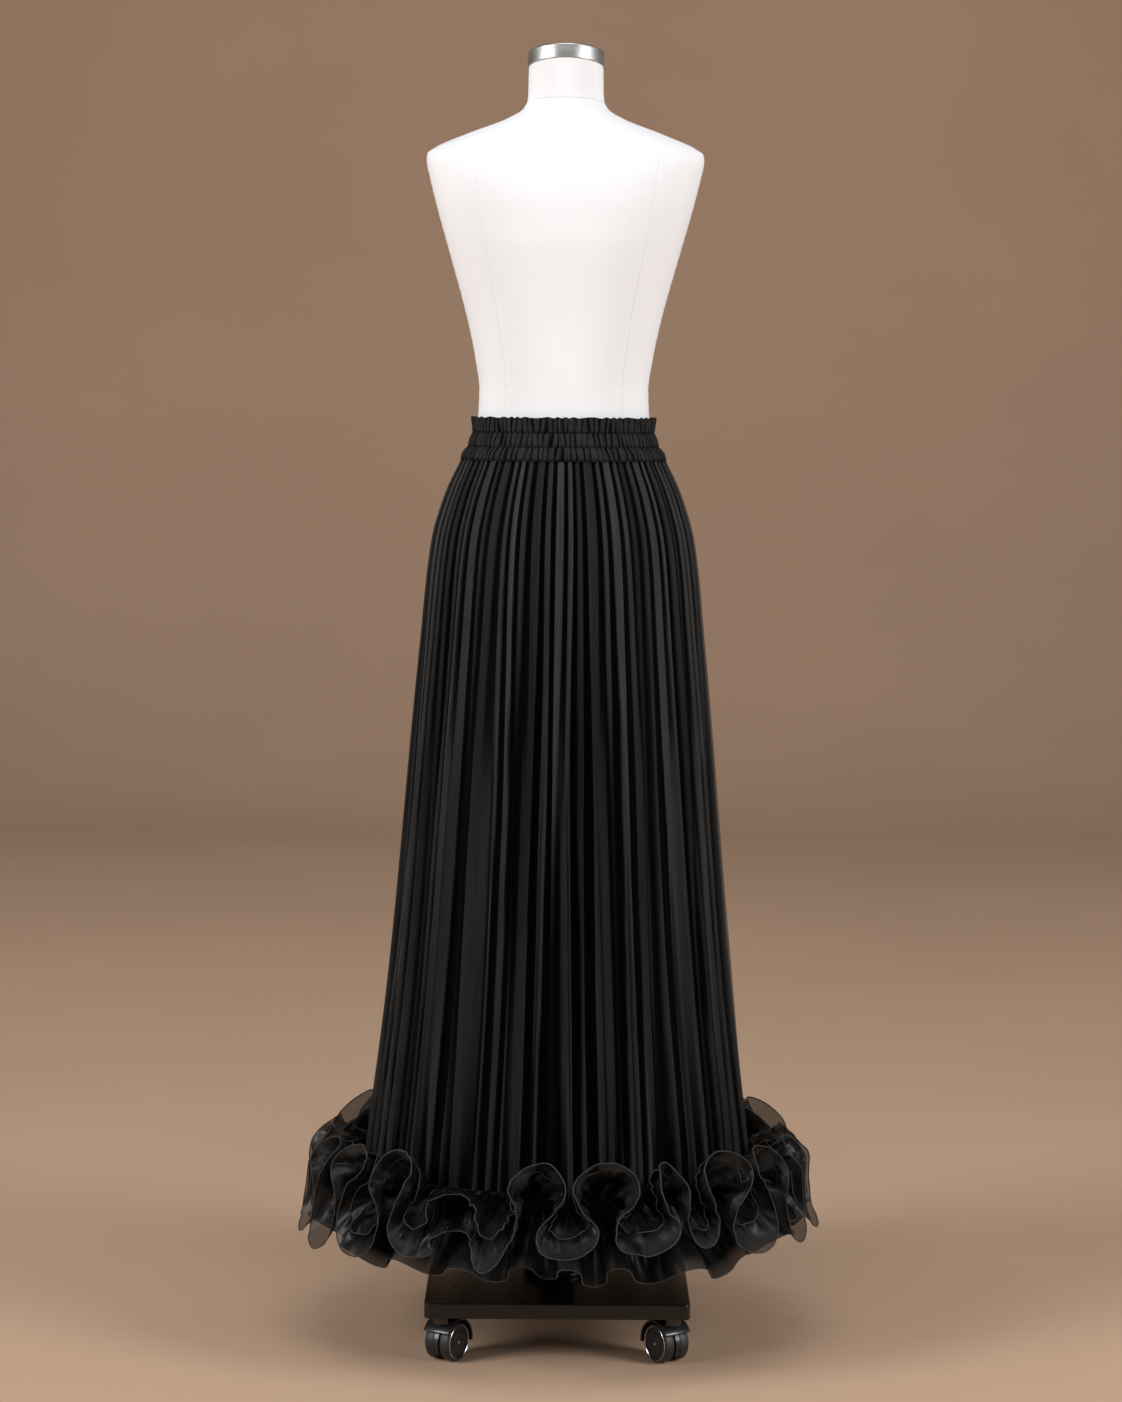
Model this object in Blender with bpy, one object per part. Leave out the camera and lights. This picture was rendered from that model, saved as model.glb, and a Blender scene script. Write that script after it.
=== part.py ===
"""A gathered black chiffon maxi skirt with a shirred waistband, a lining and a stiff organza
ruffle at the hem, standing on a limbless dress form with a square base plate on casters.

Metres, +Z up. The origin is on the floor under the pole. The form's front faces +Y, and angles
round the body run from the centre back (-Y) towards +X.
"""

import math

import bmesh
import bpy
import numpy as np
from mathutils import Matrix, Vector

GAP = 0.0003  # what stays between pieces that are sewn or seated on each other

# ---------------------------------------------------------------- driving sizes, skirt
BAND_TOP_Z = 1.208
BAND_BOTTOM_Z = 1.152
HEM_Z = 0.241
LINING_HEM_Z = 0.228
CHIFFON_WALL = 0.0012
LINING_WALL = 0.0010
RUFFLE_WALL = 0.0012

BAND_GATHERS = 96
SKIRT_FOLDS = 72
COLUMNS_PER_FOLD = 3
LINING_COLUMNS = 32
RIDGE_SHARE = 0.56  # of a fold's width, the rest is its valley

# Sections of the chiffon layer over its ridges: height, half width, depth to the front and to
# the back, depth of a fold, and how far inside the ridges the lining hangs.
SKIRT_SECTIONS = (
    # z,     half_width, front,  back,   fold,   lining
    (1.1517, 0.1340, 0.1085, 0.1050, 0.0020, 0.0048),
    (1.1050, 0.1550, 0.1235, 0.1265, 0.0034, 0.0070),
    (1.0500, 0.1710, 0.1350, 0.1410, 0.0050, 0.0088),
    (0.9100, 0.1868, 0.1510, 0.1570, 0.0068, 0.0106),
    (0.4800, 0.2270, 0.2110, 0.2145, 0.0098, 0.0152),
    (0.2410, 0.2570, 0.2450, 0.2450, 0.0125, 0.0185),
)

# Rows of the waistband: height, half width, front and back over the gathers, depth of a gather.
# Its stitch rows pinch the cloth and the rows between them puff out.
BAND_ROWS = (
    # z,     half_width, front,  back,   gather
    (1.2080, 0.1190, 0.1025, 0.0965, 0.0028),
    (1.1880, 0.1178, 0.1010, 0.0955, 0.0010),
    (1.1790, 0.1224, 0.1050, 0.0995, 0.0022),
    (1.1700, 0.1236, 0.1055, 0.1000, 0.0011),
    (1.1615, 0.1318, 0.1105, 0.1055, 0.0024),
    (1.1520, 0.1345, 0.1110, 0.1065, 0.0012),
)
BAND_INSIDE_HEIGHTS = (BAND_TOP_Z, 1.1880, 1.1700, BAND_BOTTOM_Z)
BAND_INSIDE_SHARE = 4  # columns of the outside for each one of the inside
BAND_ROOM = 0.0004  # between the form's corners and the band's plain inside
BAND_FRILL_ROOM = 0.0030  # more than that inside the frill at the top
BAND_FRILL_WAVE = 0.0012

# The ruffle's waves, from the centre front round by the left side: degrees of hem that a wave
# takes, how far its loop stands above the hem and hangs below it, how far the edge swings past
# upright in its loops, how far the loops lean, the degrees by which a loop's top is pushed to
# the right, and how much further out this wave stands.
RUFFLE_WAVES = (
    # degrees, lift,  drop,  swing, lean, slant, further
    (21.0, 0.050, 0.062, 117.0, 6.0, 1.5, 0.004),
    (18.0, 0.056, 0.070, 117.0, -6.0, -1.5, -0.006),
    (23.0, 0.044, 0.058, 116.0, 5.0, 1.0, 0.006),
    (17.0, 0.058, 0.080, 118.0, -4.0, -1.0, -0.004),
    (15.0, 0.042, 0.092, 118.0, 8.0, 1.5, -0.004),
    (15.0, 0.044, 0.090, 118.0, -6.0, -1.0, -0.004),
    (14.0, 0.046, 0.092, 117.0, 5.0, 1.0, -0.004),
    (15.7, 0.050, 0.082, 118.0, -8.0, -1.5, -0.004),
    (17.0, 0.058, 0.046, 108.0, 0.0, 1.0, -0.004),
    (20.0, 0.006, 0.036, 74.0, -4.0, 0.0, 0.006),
    (15.0, 0.060, 0.052, 117.0, 2.0, 1.0, 0.000),
    (18.0, 0.060, 0.052, 117.0, 7.0, 2.0, 0.002),
    (12.0, 0.052, 0.050, 106.0, -3.0, -0.6, -0.008),
    (18.0, 0.060, 0.068, 118.0, -6.0, 1.0, 0.002),
    (18.0, 0.050, 0.084, 114.0, 0.0, 0.0, -0.004),
    (17.3, 0.044, 0.088, 116.0, -5.0, 0.6, -0.004),
    (22.0, 0.040, 0.082, 116.0, 8.0, 1.5, -0.004),
    (18.0, 0.056, 0.076, 118.0, -6.0, -1.5, -0.010),
    (24.0, 0.050, 0.058, 116.0, 4.0, 1.2, 0.006),
    (22.0, 0.055, 0.068, 117.0, -7.0, -1.5, -0.004),
)
RUFFLE_START = -184.5  # degrees round the hem where the first wave starts
RUFFLE_COLUMNS_PER_WAVE = 12
FLOP_DROP = 0.040  # of the flat wave left of the centre, where the edge flops forward
FLOP_DEGREES = (-36.0, -30.0, -16.0, -8.0)  # where the flop starts, is full, ends and is over
RUFFLE_REACH = 0.082  # of the edge out from the hem where it crosses the hem's level
RUFFLE_LOOP_REACH = 0.052  # at the top of a loop
RUFFLE_LOBE_REACH = 0.100  # at the bottom of a lobe
RUFFLE_STEPS = (0.0, 0.12, 0.36, 1.0)  # shares of the depth from the hem to the edge
RUFFLE_FALL = 0.005  # from the hem down to where the cloth has turned outwards
RUFFLE_RISE_POWER = 1.15  # the cloth leaves the hem a little flatter than it ends

# The shorter length under the ruffle: height, how far out from the skirt's hem, and swell of its
# waves either way.
UNDER_WAVES = 12
UNDER_COLUMNS_PER_WAVE = 6
UNDER_ROWS = (
    # z,     out,    swell
    (0.2050, 0.004, 0.004),
    (0.1440, 0.048, 0.017),
)

# ---------------------------------------------------------------- driving sizes, form
FORM_COLUMNS = 24
# Height, half width, depth to the front and to the back, and slope up towards the back.
FORM_SECTIONS = (
    # z,     half_width, front,  back,   slope
    (0.8500, 0.1380, 0.1020, 0.1060, 0.0),
    (0.8620, 0.1480, 0.1090, 0.1140, 0.0),
    (0.9200, 0.1580, 0.1160, 0.1230, 0.0),
    (1.0000, 0.1600, 0.1180, 0.1260, 0.0),
    (1.0500, 0.1520, 0.1140, 0.1210, 0.0),
    (1.1050, 0.1410, 0.1080, 0.1110, 0.0),
    (1.1520, 0.1265, 0.1010, 0.0970, 0.0),
    (1.1700, 0.1190, 0.0985, 0.0925, 0.0),
    (1.1880, 0.1142, 0.0960, 0.0890, 0.0),
    (1.2080, 0.1108, 0.0940, 0.0865, 0.0),
    (1.2430, 0.1093, 0.0925, 0.0850, 0.0),
    (1.2810, 0.1144, 0.0960, 0.0855, 0.0),
    (1.3200, 0.1221, 0.1040, 0.0870, 0.0),
    (1.3580, 0.1316, 0.1180, 0.0900, 0.0),
    (1.3970, 0.1425, 0.1270, 0.0940, 0.0),
    (1.4350, 0.1533, 0.1220, 0.0970, 0.0),
    (1.4730, 0.1640, 0.1040, 0.0960, 0.0),
    (1.5110, 0.1736, 0.0840, 0.0890, 0.0),
    (1.5330, 0.1782, 0.0720, 0.0790, 0.0),
    (1.5430, 0.1775, 0.0660, 0.0730, 0.0),
    (1.5520, 0.1660, 0.0620, 0.0690, 0.0),
    (1.5690, 0.1259, 0.0570, 0.0640, 0.0),
    (1.5880, 0.0758, 0.0520, 0.0580, 0.0),
    (1.6010, 0.0545, 0.0480, 0.0520, 0.04),
    (1.6150, 0.0487, 0.0470, 0.0490, 0.10),
    (1.6521, 0.0478, 0.0478, 0.0478, 0.20),
)
NECK_CAP_RADIUS = 0.0497
NECK_CAP_HEIGHT = 0.0195
NECK_CAP_EDGE = 0.0025

# ---------------------------------------------------------------- driving sizes, stand
PLATE_SIDE = 0.340
PLATE_BOTTOM_Z = 0.062
PLATE_THICKNESS = 0.020
PLATE_CORNER = 0.008
POLE_RADIUS = 0.016
COLLAR_RADIUS = 0.0225
COLLAR_HEIGHT = 0.040
FLANGE_RADIUS = 0.045
FLANGE_HEIGHT = 0.006

CASTER_SWIVEL_OFFSET = 0.1480  # of each swivel axis from the plate's centre, along X and Y
CASTER_TRAIL = 0.013
WHEEL_RADIUS = 0.0255
WHEEL_SIDES = 18
WHEEL_WIDTH = 0.0145
WHEEL_SPACE = 0.0080  # between the twin discs
AXLE_RADIUS = 0.0030
WEB_WIDTH = 0.0060
HOOD_CLEARANCE = 0.0022
HOOD_WALL = 0.0028
HOOD_SIDE_CLEARANCE = 0.0012
STEM_RADIUS = 0.0040
STEM_DEPTH = 0.0120
BOSS_RADIUS = 0.0110
BOSS_TOP_Z = PLATE_BOTTOM_Z - 0.0010
# name, side along X, side along Y, direction of the trail in degrees from +X
CASTERS = (
    ("back_left", -1, -1, 58.0),
    ("back_right", 1, -1, 124.0),
    ("front_left", -1, 1, -50.0),
    ("front_right", 1, 1, -112.0),
)


# ---------------------------------------------------------------- helpers
def clear_scene():
    for item in list(bpy.data.objects):
        bpy.data.objects.remove(item, do_unlink=True)


def finish(name, colour, roughness, metallic=0.0):
    made = bpy.data.materials.new(name)
    made.use_nodes = True
    shader = made.node_tree.nodes["Principled BSDF"]
    shader.inputs["Base Color"].default_value = (*colour, 1.0)
    shader.inputs["Roughness"].default_value = roughness
    shader.inputs["Metallic"].default_value = metallic
    return made


def piece_from(name, shape, material, smooth_under=None):
    """A scene object from a bmesh, which it uses up."""
    mesh = bpy.data.meshes.new(name)
    shape.to_mesh(mesh)
    shape.free()
    mesh.materials.append(material)
    if smooth_under is not None:
        mesh.shade_smooth()
        mesh.set_sharp_from_angle(angle=math.radians(smooth_under))
    made = bpy.data.objects.new(name, mesh)
    bpy.context.scene.collection.objects.link(made)
    return made


def section_at(sections, z):
    """The row of a table of sections at height z, between its own rows."""
    table = np.array(sections)
    order = np.argsort(table[:, 0])
    return [float(np.interp(z, table[order, 0], table[order, i])) for i in range(table.shape[1])]


def egg(angle, half_width, front, back):
    """A point of an egg-shaped section: angle 0 is the centre back, a quarter turn is +X."""
    reach = np.where(np.cos(angle) > 0.0, back, front)
    return np.stack([half_width * np.sin(angle), -reach * np.cos(angle)], axis=-1)


def inward(ring, depth):
    """A closed ring moved in by depth, along the mitre of each corner's two sides."""
    before = ring - np.roll(ring, 1, axis=0)
    after = np.roll(ring, -1, axis=0) - ring
    normals = [np.stack([side[:, 1], -side[:, 0]], axis=1) for side in (before, after)]
    normals = [n / np.linalg.norm(n, axis=1)[:, None] for n in normals]
    spread = np.maximum(1.0 + (normals[0] * normals[1]).sum(axis=1), 0.30)
    mitre = (normals[0] + normals[1]) / spread[:, None]
    return ring - mitre * depth


def with_height(ring, z):
    heights = np.broadcast_to(z, ring.shape[:1])
    return np.concatenate([ring, heights[:, None]], axis=1)


def wall(name, outer, inner, material):
    """An open cloth wall between two grids of points, rows from top to bottom. Both skins are
    split along the same diagonals, so that the wall keeps its thickness where it twists."""
    shape = bmesh.new()
    skins = [[[shape.verts.new(p) for p in row] for row in grid] for grid in (outer, inner)]
    rows, columns = len(outer), len(outer[0])
    for skin, way in zip(skins, (1, -1)):
        for r in range(rows - 1):
            for c in range(columns - 1):
                low = [skin[r][c], skin[r + 1][c], skin[r + 1][c + 1]]
                high = [skin[r][c], skin[r + 1][c + 1], skin[r][c + 1]]
                shape.faces.new(low[::way])
                shape.faces.new(high[::way])
    rims = [[(r, c) for c in range(columns)] for r in (0, rows - 1)]
    rims += [[(r, c) for r in range(rows)] for c in (0, columns - 1)]
    for rim, way in zip(rims, (1, -1, -1, 1)):
        for (r, c), (s, d) in zip(rim, rim[1:]):
            near = [skins[0][r][c], skins[0][s][d], skins[1][s][d]]
            far = [skins[0][r][c], skins[1][s][d], skins[1][r][c]]
            shape.faces.new(near[::way])
            shape.faces.new(far[::way])
    return piece_from(name, shape, material, smooth_under=50)


def half_of(grid, first, count, side):
    """Columns of a closed grid for one panel. Its two end columns stop half a gap from y = 0."""
    columns = len(grid[0])
    picked = np.array([[row[(first + i) % columns] for i in range(count + 1)] for row in grid])
    picked[:, 0, 1] = picked[:, -1, 1] = side * GAP / 2
    return picked


def turned(name, profile, sides, material, axis=(0, 0, 1), centre=(0, 0, 0)):
    """A solid turned from a profile of (along, radius) points that starts and ends on the axis."""
    shape = bmesh.new()
    points = [shape.verts.new((radius, 0.0, along)) for along, radius in profile]
    edges = [shape.edges.new(pair) for pair in zip(points, points[1:])]
    bmesh.ops.spin(
        shape, geom=points + edges, cent=(0, 0, 0), axis=(0, 0, 1), angle=math.tau,
        steps=sides, use_merge=True,
    )
    bmesh.ops.remove_doubles(shape, verts=shape.verts, dist=1e-6)
    bmesh.ops.recalc_face_normals(shape, faces=shape.faces)
    turn = Vector((0, 0, 1)).rotation_difference(Vector(axis)).to_matrix().to_4x4()
    bmesh.ops.transform(shape, matrix=Matrix.Translation(centre) @ turn, verts=shape.verts)
    return piece_from(name, shape, material, smooth_under=40)


# ---------------------------------------------------------------- skirt
def fold_columns():
    """Angles of the columns of the chiffon layer, and the share of the fold depth of each.

    Fold widths and depths are uneven, and every fold has two ridge columns and one valley."""
    number = np.arange(SKIRT_FOLDS)
    widths = 1.0 + 0.24 * np.sin(2.3 * number) + 0.16 * np.sin(5.1 * number + 1.0)
    widths[: SKIRT_FOLDS // 2] /= widths[: SKIRT_FOLDS // 2].sum()
    widths[SKIRT_FOLDS // 2:] /= widths[SKIRT_FOLDS // 2:].sum()
    widths *= math.pi
    starts = -math.pi / 2 + np.concatenate([[0.0], np.cumsum(widths)[:-1]])
    ridge_sink = 0.13 * (1.0 + np.sin(3.7 * number + 0.5))
    valley_sink = 1.0 - 0.16 * (1.0 + np.sin(1.9 * number + 2.0))
    angles, sinks = [], []
    for start, width, ridge, valley in zip(starts, widths, ridge_sink, valley_sink):
        half_valley = 0.5 * (1.0 - RIDGE_SHARE)
        angles += [start, start + half_valley * width, start + (half_valley + RIDGE_SHARE) * width]
        sinks += [valley, ridge, 0.6 * ridge]
    return np.array(angles), np.array(sinks)


def skirt_rings():
    """Outer and inner points of the chiffon layer, a closed ring for each section."""
    angles, sinks = fold_columns()
    outer, inner = [], []
    for z, half_width, front, back, fold, _lining in SKIRT_SECTIONS:
        round_it = egg(angles, half_width, front, back)
        out = round_it / np.linalg.norm(round_it, axis=1)[:, None]
        ring = round_it - out * (sinks * fold)[:, None]
        outer.append(with_height(ring, z))
        inner.append(with_height(inward(ring, CHIFFON_WALL), z))
    return outer, inner


def build_skirt(chiffon):
    outer, inner = skirt_rings()
    half = SKIRT_FOLDS * COLUMNS_PER_FOLD // 2
    for name, first, side in (("skirt_back", 0, -1), ("skirt_front", half, 1)):
        wall(name, half_of(outer, first, half, side), half_of(inner, first, half, side), chiffon)


def build_lining(satin):
    angles = -math.pi / 2 + math.tau * np.arange(LINING_COLUMNS) / LINING_COLUMNS
    heights = [row[0] for row in SKIRT_SECTIONS[:-1]] + [LINING_HEM_Z]
    outer, inner = [], []
    for z in heights:
        _, half_width, front, back, _, margin = section_at(SKIRT_SECTIONS, z)
        ring = egg(angles, half_width - margin, front - margin, back - margin)
        outer.append(with_height(ring, z))
        inner.append(with_height(inward(ring, LINING_WALL), z))
    half = LINING_COLUMNS // 2
    for name, first, side in (("lining_back", 0, -1), ("lining_front", half, 1)):
        wall(name, half_of(outer, first, half, side), half_of(inner, first, half, side), satin)


def build_waistband(chiffon):
    """Gathers raised in the band's outer points, over a plain inside that sits on the form."""
    columns = 2 * BAND_GATHERS
    number = np.arange(columns)
    angles = math.tau * (number + 0.30 * np.sin(1.7 * number)) / columns
    is_valley = number % 2
    uneven = 0.75 + 0.25 * np.sin(2.9 * number)
    rings = []
    for z, half_width, front, back, gather in BAND_ROWS:
        sink = gather * is_valley * uneven
        ring = egg(angles, half_width, front, back)
        out = ring / np.linalg.norm(ring, axis=1)[:, None]
        frill = BAND_FRILL_WAVE * np.sin(2.1 * number) if z == BAND_TOP_Z else 0.0
        rings.append(with_height(ring - out * sink[:, None], z + frill * (1 - is_valley)))
    shape = bmesh.new()
    outer = [[shape.verts.new(p) for p in ring] for ring in rings]
    for upper, lower in zip(outer, outer[1:]):
        for c in range(columns):
            d = (c + 1) % columns
            shape.faces.new([upper[c], lower[c], lower[d], upper[d]])
    share = BAND_INSIDE_SHARE
    inner = []
    for z in BAND_INSIDE_HEIGHTS:
        _, half_width, front, back, _ = section_at(FORM_SECTIONS, z)
        room = BAND_ROOM + (BAND_FRILL_ROOM if z == BAND_TOP_Z else 0.0)
        ring = egg(angles[::share], half_width + room, front + room, back + room)
        inner.append([shape.verts.new(p) for p in with_height(ring, z)])
    for upper, lower in zip(inner, inner[1:]):
        for c in range(columns // share):
            d = (c + 1) % (columns // share)
            shape.faces.new([upper[d], lower[d], lower[c], upper[c]])
    for outside, inside, way in ((outer[0], inner[0], 1), (outer[-1], inner[-1], -1)):
        for c in range(columns // share):
            d = (c + 1) % (columns // share)
            rim = [outside[(c * share + i) % columns] for i in range(share + 1)]
            shape.faces.new((rim + [inside[d], inside[c]])[::way])
    bmesh.ops.recalc_face_normals(shape, faces=shape.faces)
    piece_from("waistband", shape, chiffon, smooth_under=50)


def meander(swing, lean, steps):
    """Progress (0 to 1) and height (1 at the crest, -1 at the trough) along one wave of cloth
    whose direction swings to and fro by the angle swing."""
    fine = 480
    travel = (np.arange(fine) + 0.5) / fine
    heading = math.radians(swing) * np.cos(math.tau * travel)
    heading += math.radians(lean) * np.cos(2 * math.tau * travel)
    along = np.concatenate([[0.0], np.cumsum(np.cos(heading))])
    height = np.concatenate([[0.0], np.cumsum(np.sin(heading))])
    height -= height[-1] * np.linspace(0.0, 1.0, fine + 1)
    picked = (2 * np.arange(steps) + 1) * fine // (2 * steps)
    height = np.where(height > 0.0, height / height.max(), -height / height.min())
    return along[picked] / along[-1], height[picked]


def ruffle_grid():
    """Points of the middle of the ruffle's cloth: a closed ring for each step of its depth."""
    per_wave = RUFFLE_COLUMNS_PER_WAVE
    degrees = np.array([wave[0] for wave in RUFFLE_WAVES])
    degrees *= 360.0 / degrees.sum()
    starts = np.radians(RUFFLE_START + np.concatenate([[0.0], np.cumsum(degrees)[:-1]]))
    plain, curled, height, edge = [], [], [], []
    for start, width, wave in zip(starts, np.radians(degrees), RUFFLE_WAVES):
        _, lift, drop, swing, lean, slant, further = wave
        progress, rise = meander(swing, lean, per_wave)
        plain.append(start + width * (np.arange(per_wave) + 0.5) / per_wave)
        curled.append(start + width * progress + math.radians(slant) * rise)
        flopped = np.interp(np.degrees(plain[-1]), FLOP_DEGREES, (0.0, 1.0, 1.0, 0.0))
        height.append(np.where(rise > 0.0, rise * lift, rise * drop) - FLOP_DROP * flopped)
        tip = np.where(rise > 0.0, RUFFLE_LOOP_REACH, RUFFLE_LOBE_REACH)
        edge.append(RUFFLE_REACH + (tip - RUFFLE_REACH) * rise**2 + further * np.abs(rise))
    plain, curled, height, edge = (np.concatenate(part) for part in (plain, curled, height, edge))
    _, half_width, front, back, fold, _ = SKIRT_SECTIONS[-1]
    base = 0.5 * fold + 0.5 * CHIFFON_WALL
    grid = []
    for step in RUFFLE_STEPS:
        bend = max(0.0, (step - RUFFLE_STEPS[1]) / (1.0 - RUFFLE_STEPS[1]))
        angle = plain + bend * (curled - plain)
        out = step * edge - base
        ring = egg(angle, half_width + out, front + out, back + out)
        fall = GAP if step == 0.0 else RUFFLE_FALL
        grid.append(with_height(ring, HEM_Z - fall + height * bend**RUFFLE_RISE_POWER))
    return np.array(grid)


def grid_normals(grid):
    """Unit normals of a closed grid of points, pointing up out of the ruffle's upper face."""
    around = np.roll(grid, -1, axis=1) - np.roll(grid, 1, axis=1)
    down = np.empty_like(grid)
    down[1:-1] = grid[2:] - grid[:-2]
    down[0] = grid[1] - grid[0]
    down[-1] = grid[-1] - grid[-2]
    normal = np.cross(down, around)
    return normal / np.linalg.norm(normal, axis=2)[:, :, None]


def build_ruffle(organza):
    """The wall starts under the skirt's hem as an upright edge and turns outwards."""
    grid = ruffle_grid()
    offset = grid_normals(grid) * RUFFLE_WALL / 2
    upper, lower = grid + offset, grid - offset
    columns = grid.shape[1]
    root = grid[0]
    out = root[:, :2] / np.linalg.norm(root[:, :2], axis=1)[:, None]
    upper[0] = np.concatenate([root[:, :2] + out * RUFFLE_WALL / 2, root[:, 2:]], axis=1)
    lower[0] = np.concatenate([root[:, :2] - out * RUFFLE_WALL / 2, root[:, 2:]], axis=1)
    angle = np.arctan2(root[:, 0], -root[:, 1])
    left = int(np.argmin(np.abs(angle + math.pi / 2)))
    right = int(np.argmin(np.abs(angle - math.pi / 2)))
    for name, first, last in (("ruffle_back", left, right), ("ruffle_front", right, left + columns)):
        halves = []
        for skin in (upper, lower):
            picked = skin[:, np.arange(first, last + 1) % columns].copy()
            along = around_unit(grid, first, last, columns)
            picked[:, 0] += along[0] * GAP / 2
            picked[:, -1] -= along[1] * GAP / 2
            halves.append(picked)
        wall(name, halves[0], halves[1], organza)


def around_unit(grid, first, last, columns):
    """Directions into a panel along the ruffle at its first and last columns."""
    ends = []
    for column in (first, last):
        step = grid[:, (column + 1) % columns] - grid[:, (column - 1) % columns]
        ends.append(step / np.linalg.norm(step, axis=1)[:, None])
    return ends


def build_under_ruffle(organza):
    """The shorter length hangs from the same seam, just inside the ruffle's root."""
    columns = UNDER_WAVES * UNDER_COLUMNS_PER_WAVE
    angles = -math.pi / 2 + math.tau * np.arange(columns) / columns
    wave = np.sin(UNDER_WAVES * angles + 0.9 * np.sin(5.0 * angles))
    _, half_width, front, back, fold, _ = SKIRT_SECTIONS[-1]
    root_out = -0.5 * fold - 0.5 * CHIFFON_WALL - 0.5 * RUFFLE_WALL - GAP
    outer, inner = [], []
    for z, out, swell in ((HEM_Z - GAP, root_out, 0.0), *UNDER_ROWS):
        reach = out + swell * wave
        ring = egg(angles, half_width + reach, front + reach, back + reach)
        outer.append(with_height(ring, z))
        inner.append(with_height(inward(ring, RUFFLE_WALL), z))
    half = columns // 2
    for name, first, side in (("ruffle_under_back", 0, -1), ("ruffle_under_front", half, 1)):
        wall(name, half_of(outer, first, half, side), half_of(inner, first, half, side), organza)


# ---------------------------------------------------------------- dress form
def build_form(jersey, steel):
    shape = bmesh.new()
    angles = math.tau * np.arange(FORM_COLUMNS) / FORM_COLUMNS
    loops = []
    for z, half_width, front, back, slope in FORM_SECTIONS:
        ring = egg(angles, half_width, front, back)
        points = with_height(ring, z - slope * ring[:, 1])
        verts = [shape.verts.new(p) for p in points]
        loops.append([shape.edges.new(pair) for pair in zip(verts, verts[1:] + verts[:1])])
    for lower, upper in zip(loops, loops[1:]):
        bmesh.ops.bridge_loops(shape, edges=lower + upper)
    bmesh.ops.holes_fill(shape, edges=loops[0] + loops[-1], sides=FORM_COLUMNS)
    bmesh.ops.recalc_face_normals(shape, faces=shape.faces)
    piece_from("form_torso", shape, jersey, smooth_under=60)

    top_z, _, _, _, slope = FORM_SECTIONS[-1]
    lean = Vector((0.0, slope, 1.0)).normalized()
    profile = (
        (0.0, 0.0),
        (0.0, NECK_CAP_RADIUS),
        (NECK_CAP_HEIGHT - NECK_CAP_EDGE, NECK_CAP_RADIUS),
        (NECK_CAP_HEIGHT, NECK_CAP_RADIUS - NECK_CAP_EDGE),
        (NECK_CAP_HEIGHT, 0.0),
    )
    seat = Vector((0.0, 0.0, top_z)) + GAP * lean
    turned("neck_cap", profile, 32, steel, axis=lean, centre=seat)


# ---------------------------------------------------------------- stand
def build_stand(black_steel):
    plate_top = PLATE_BOTTOM_Z + PLATE_THICKNESS
    foot = plate_top + GAP
    form_bottom = FORM_SECTIONS[0][0]
    pole = ((foot, 0.0), (foot, POLE_RADIUS), (form_bottom - GAP, POLE_RADIUS), (form_bottom - GAP, 0.0))
    turned("stand_pole", pole, 20, black_steel)

    bore = POLE_RADIUS + GAP
    collar = (
        (foot, bore),
        (foot, FLANGE_RADIUS),
        (foot + FLANGE_HEIGHT, FLANGE_RADIUS),
        (foot + FLANGE_HEIGHT, COLLAR_RADIUS),
        (foot + COLLAR_HEIGHT, COLLAR_RADIUS),
        (foot + COLLAR_HEIGHT, bore),
        (foot, bore),
    )
    turned("stand_collar", collar, 20, black_steel)

    shape = bmesh.new()
    centre_z = PLATE_BOTTOM_Z + PLATE_THICKNESS / 2
    size = Matrix.Diagonal((PLATE_SIDE, PLATE_SIDE, PLATE_THICKNESS, 1.0))
    bmesh.ops.create_cube(shape, size=1.0, matrix=Matrix.Translation((0, 0, centre_z)) @ size)
    upright = [e for e in shape.edges if abs(e.verts[0].co.z - e.verts[1].co.z) > PLATE_THICKNESS / 2]
    bmesh.ops.bevel(
        shape, geom=upright, affect="EDGES", offset=PLATE_CORNER, segments=3, profile=0.5, material=-1
    )
    rims = [e for e in shape.edges if abs(e.verts[0].co.z - e.verts[1].co.z) < 1e-6]
    bmesh.ops.bevel(shape, geom=rims, affect="EDGES", offset=0.0012, segments=1, profile=0.5, material=-1)
    plate = piece_from("stand_plate", shape, black_steel, smooth_under=30)
    for name, side_x, side_y, _ in CASTERS:
        reach = STEM_DEPTH + GAP
        hole = (
            (-0.010, 0.0), (-0.010, STEM_RADIUS + 0.0004), (reach, STEM_RADIUS + 0.0004), (reach, 0.0),
        )
        centre = (side_x * CASTER_SWIVEL_OFFSET, side_y * CASTER_SWIVEL_OFFSET, PLATE_BOTTOM_Z)
        cutter = turned("socket_" + name, hole, 12, black_steel, centre=centre)
        cutter.hide_render = True
        cutter.display_type = "WIRE"
        cut = plate.modifiers.new("socket_" + name, "BOOLEAN")
        cut.operation = "DIFFERENCE"
        cut.object = cutter


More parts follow.
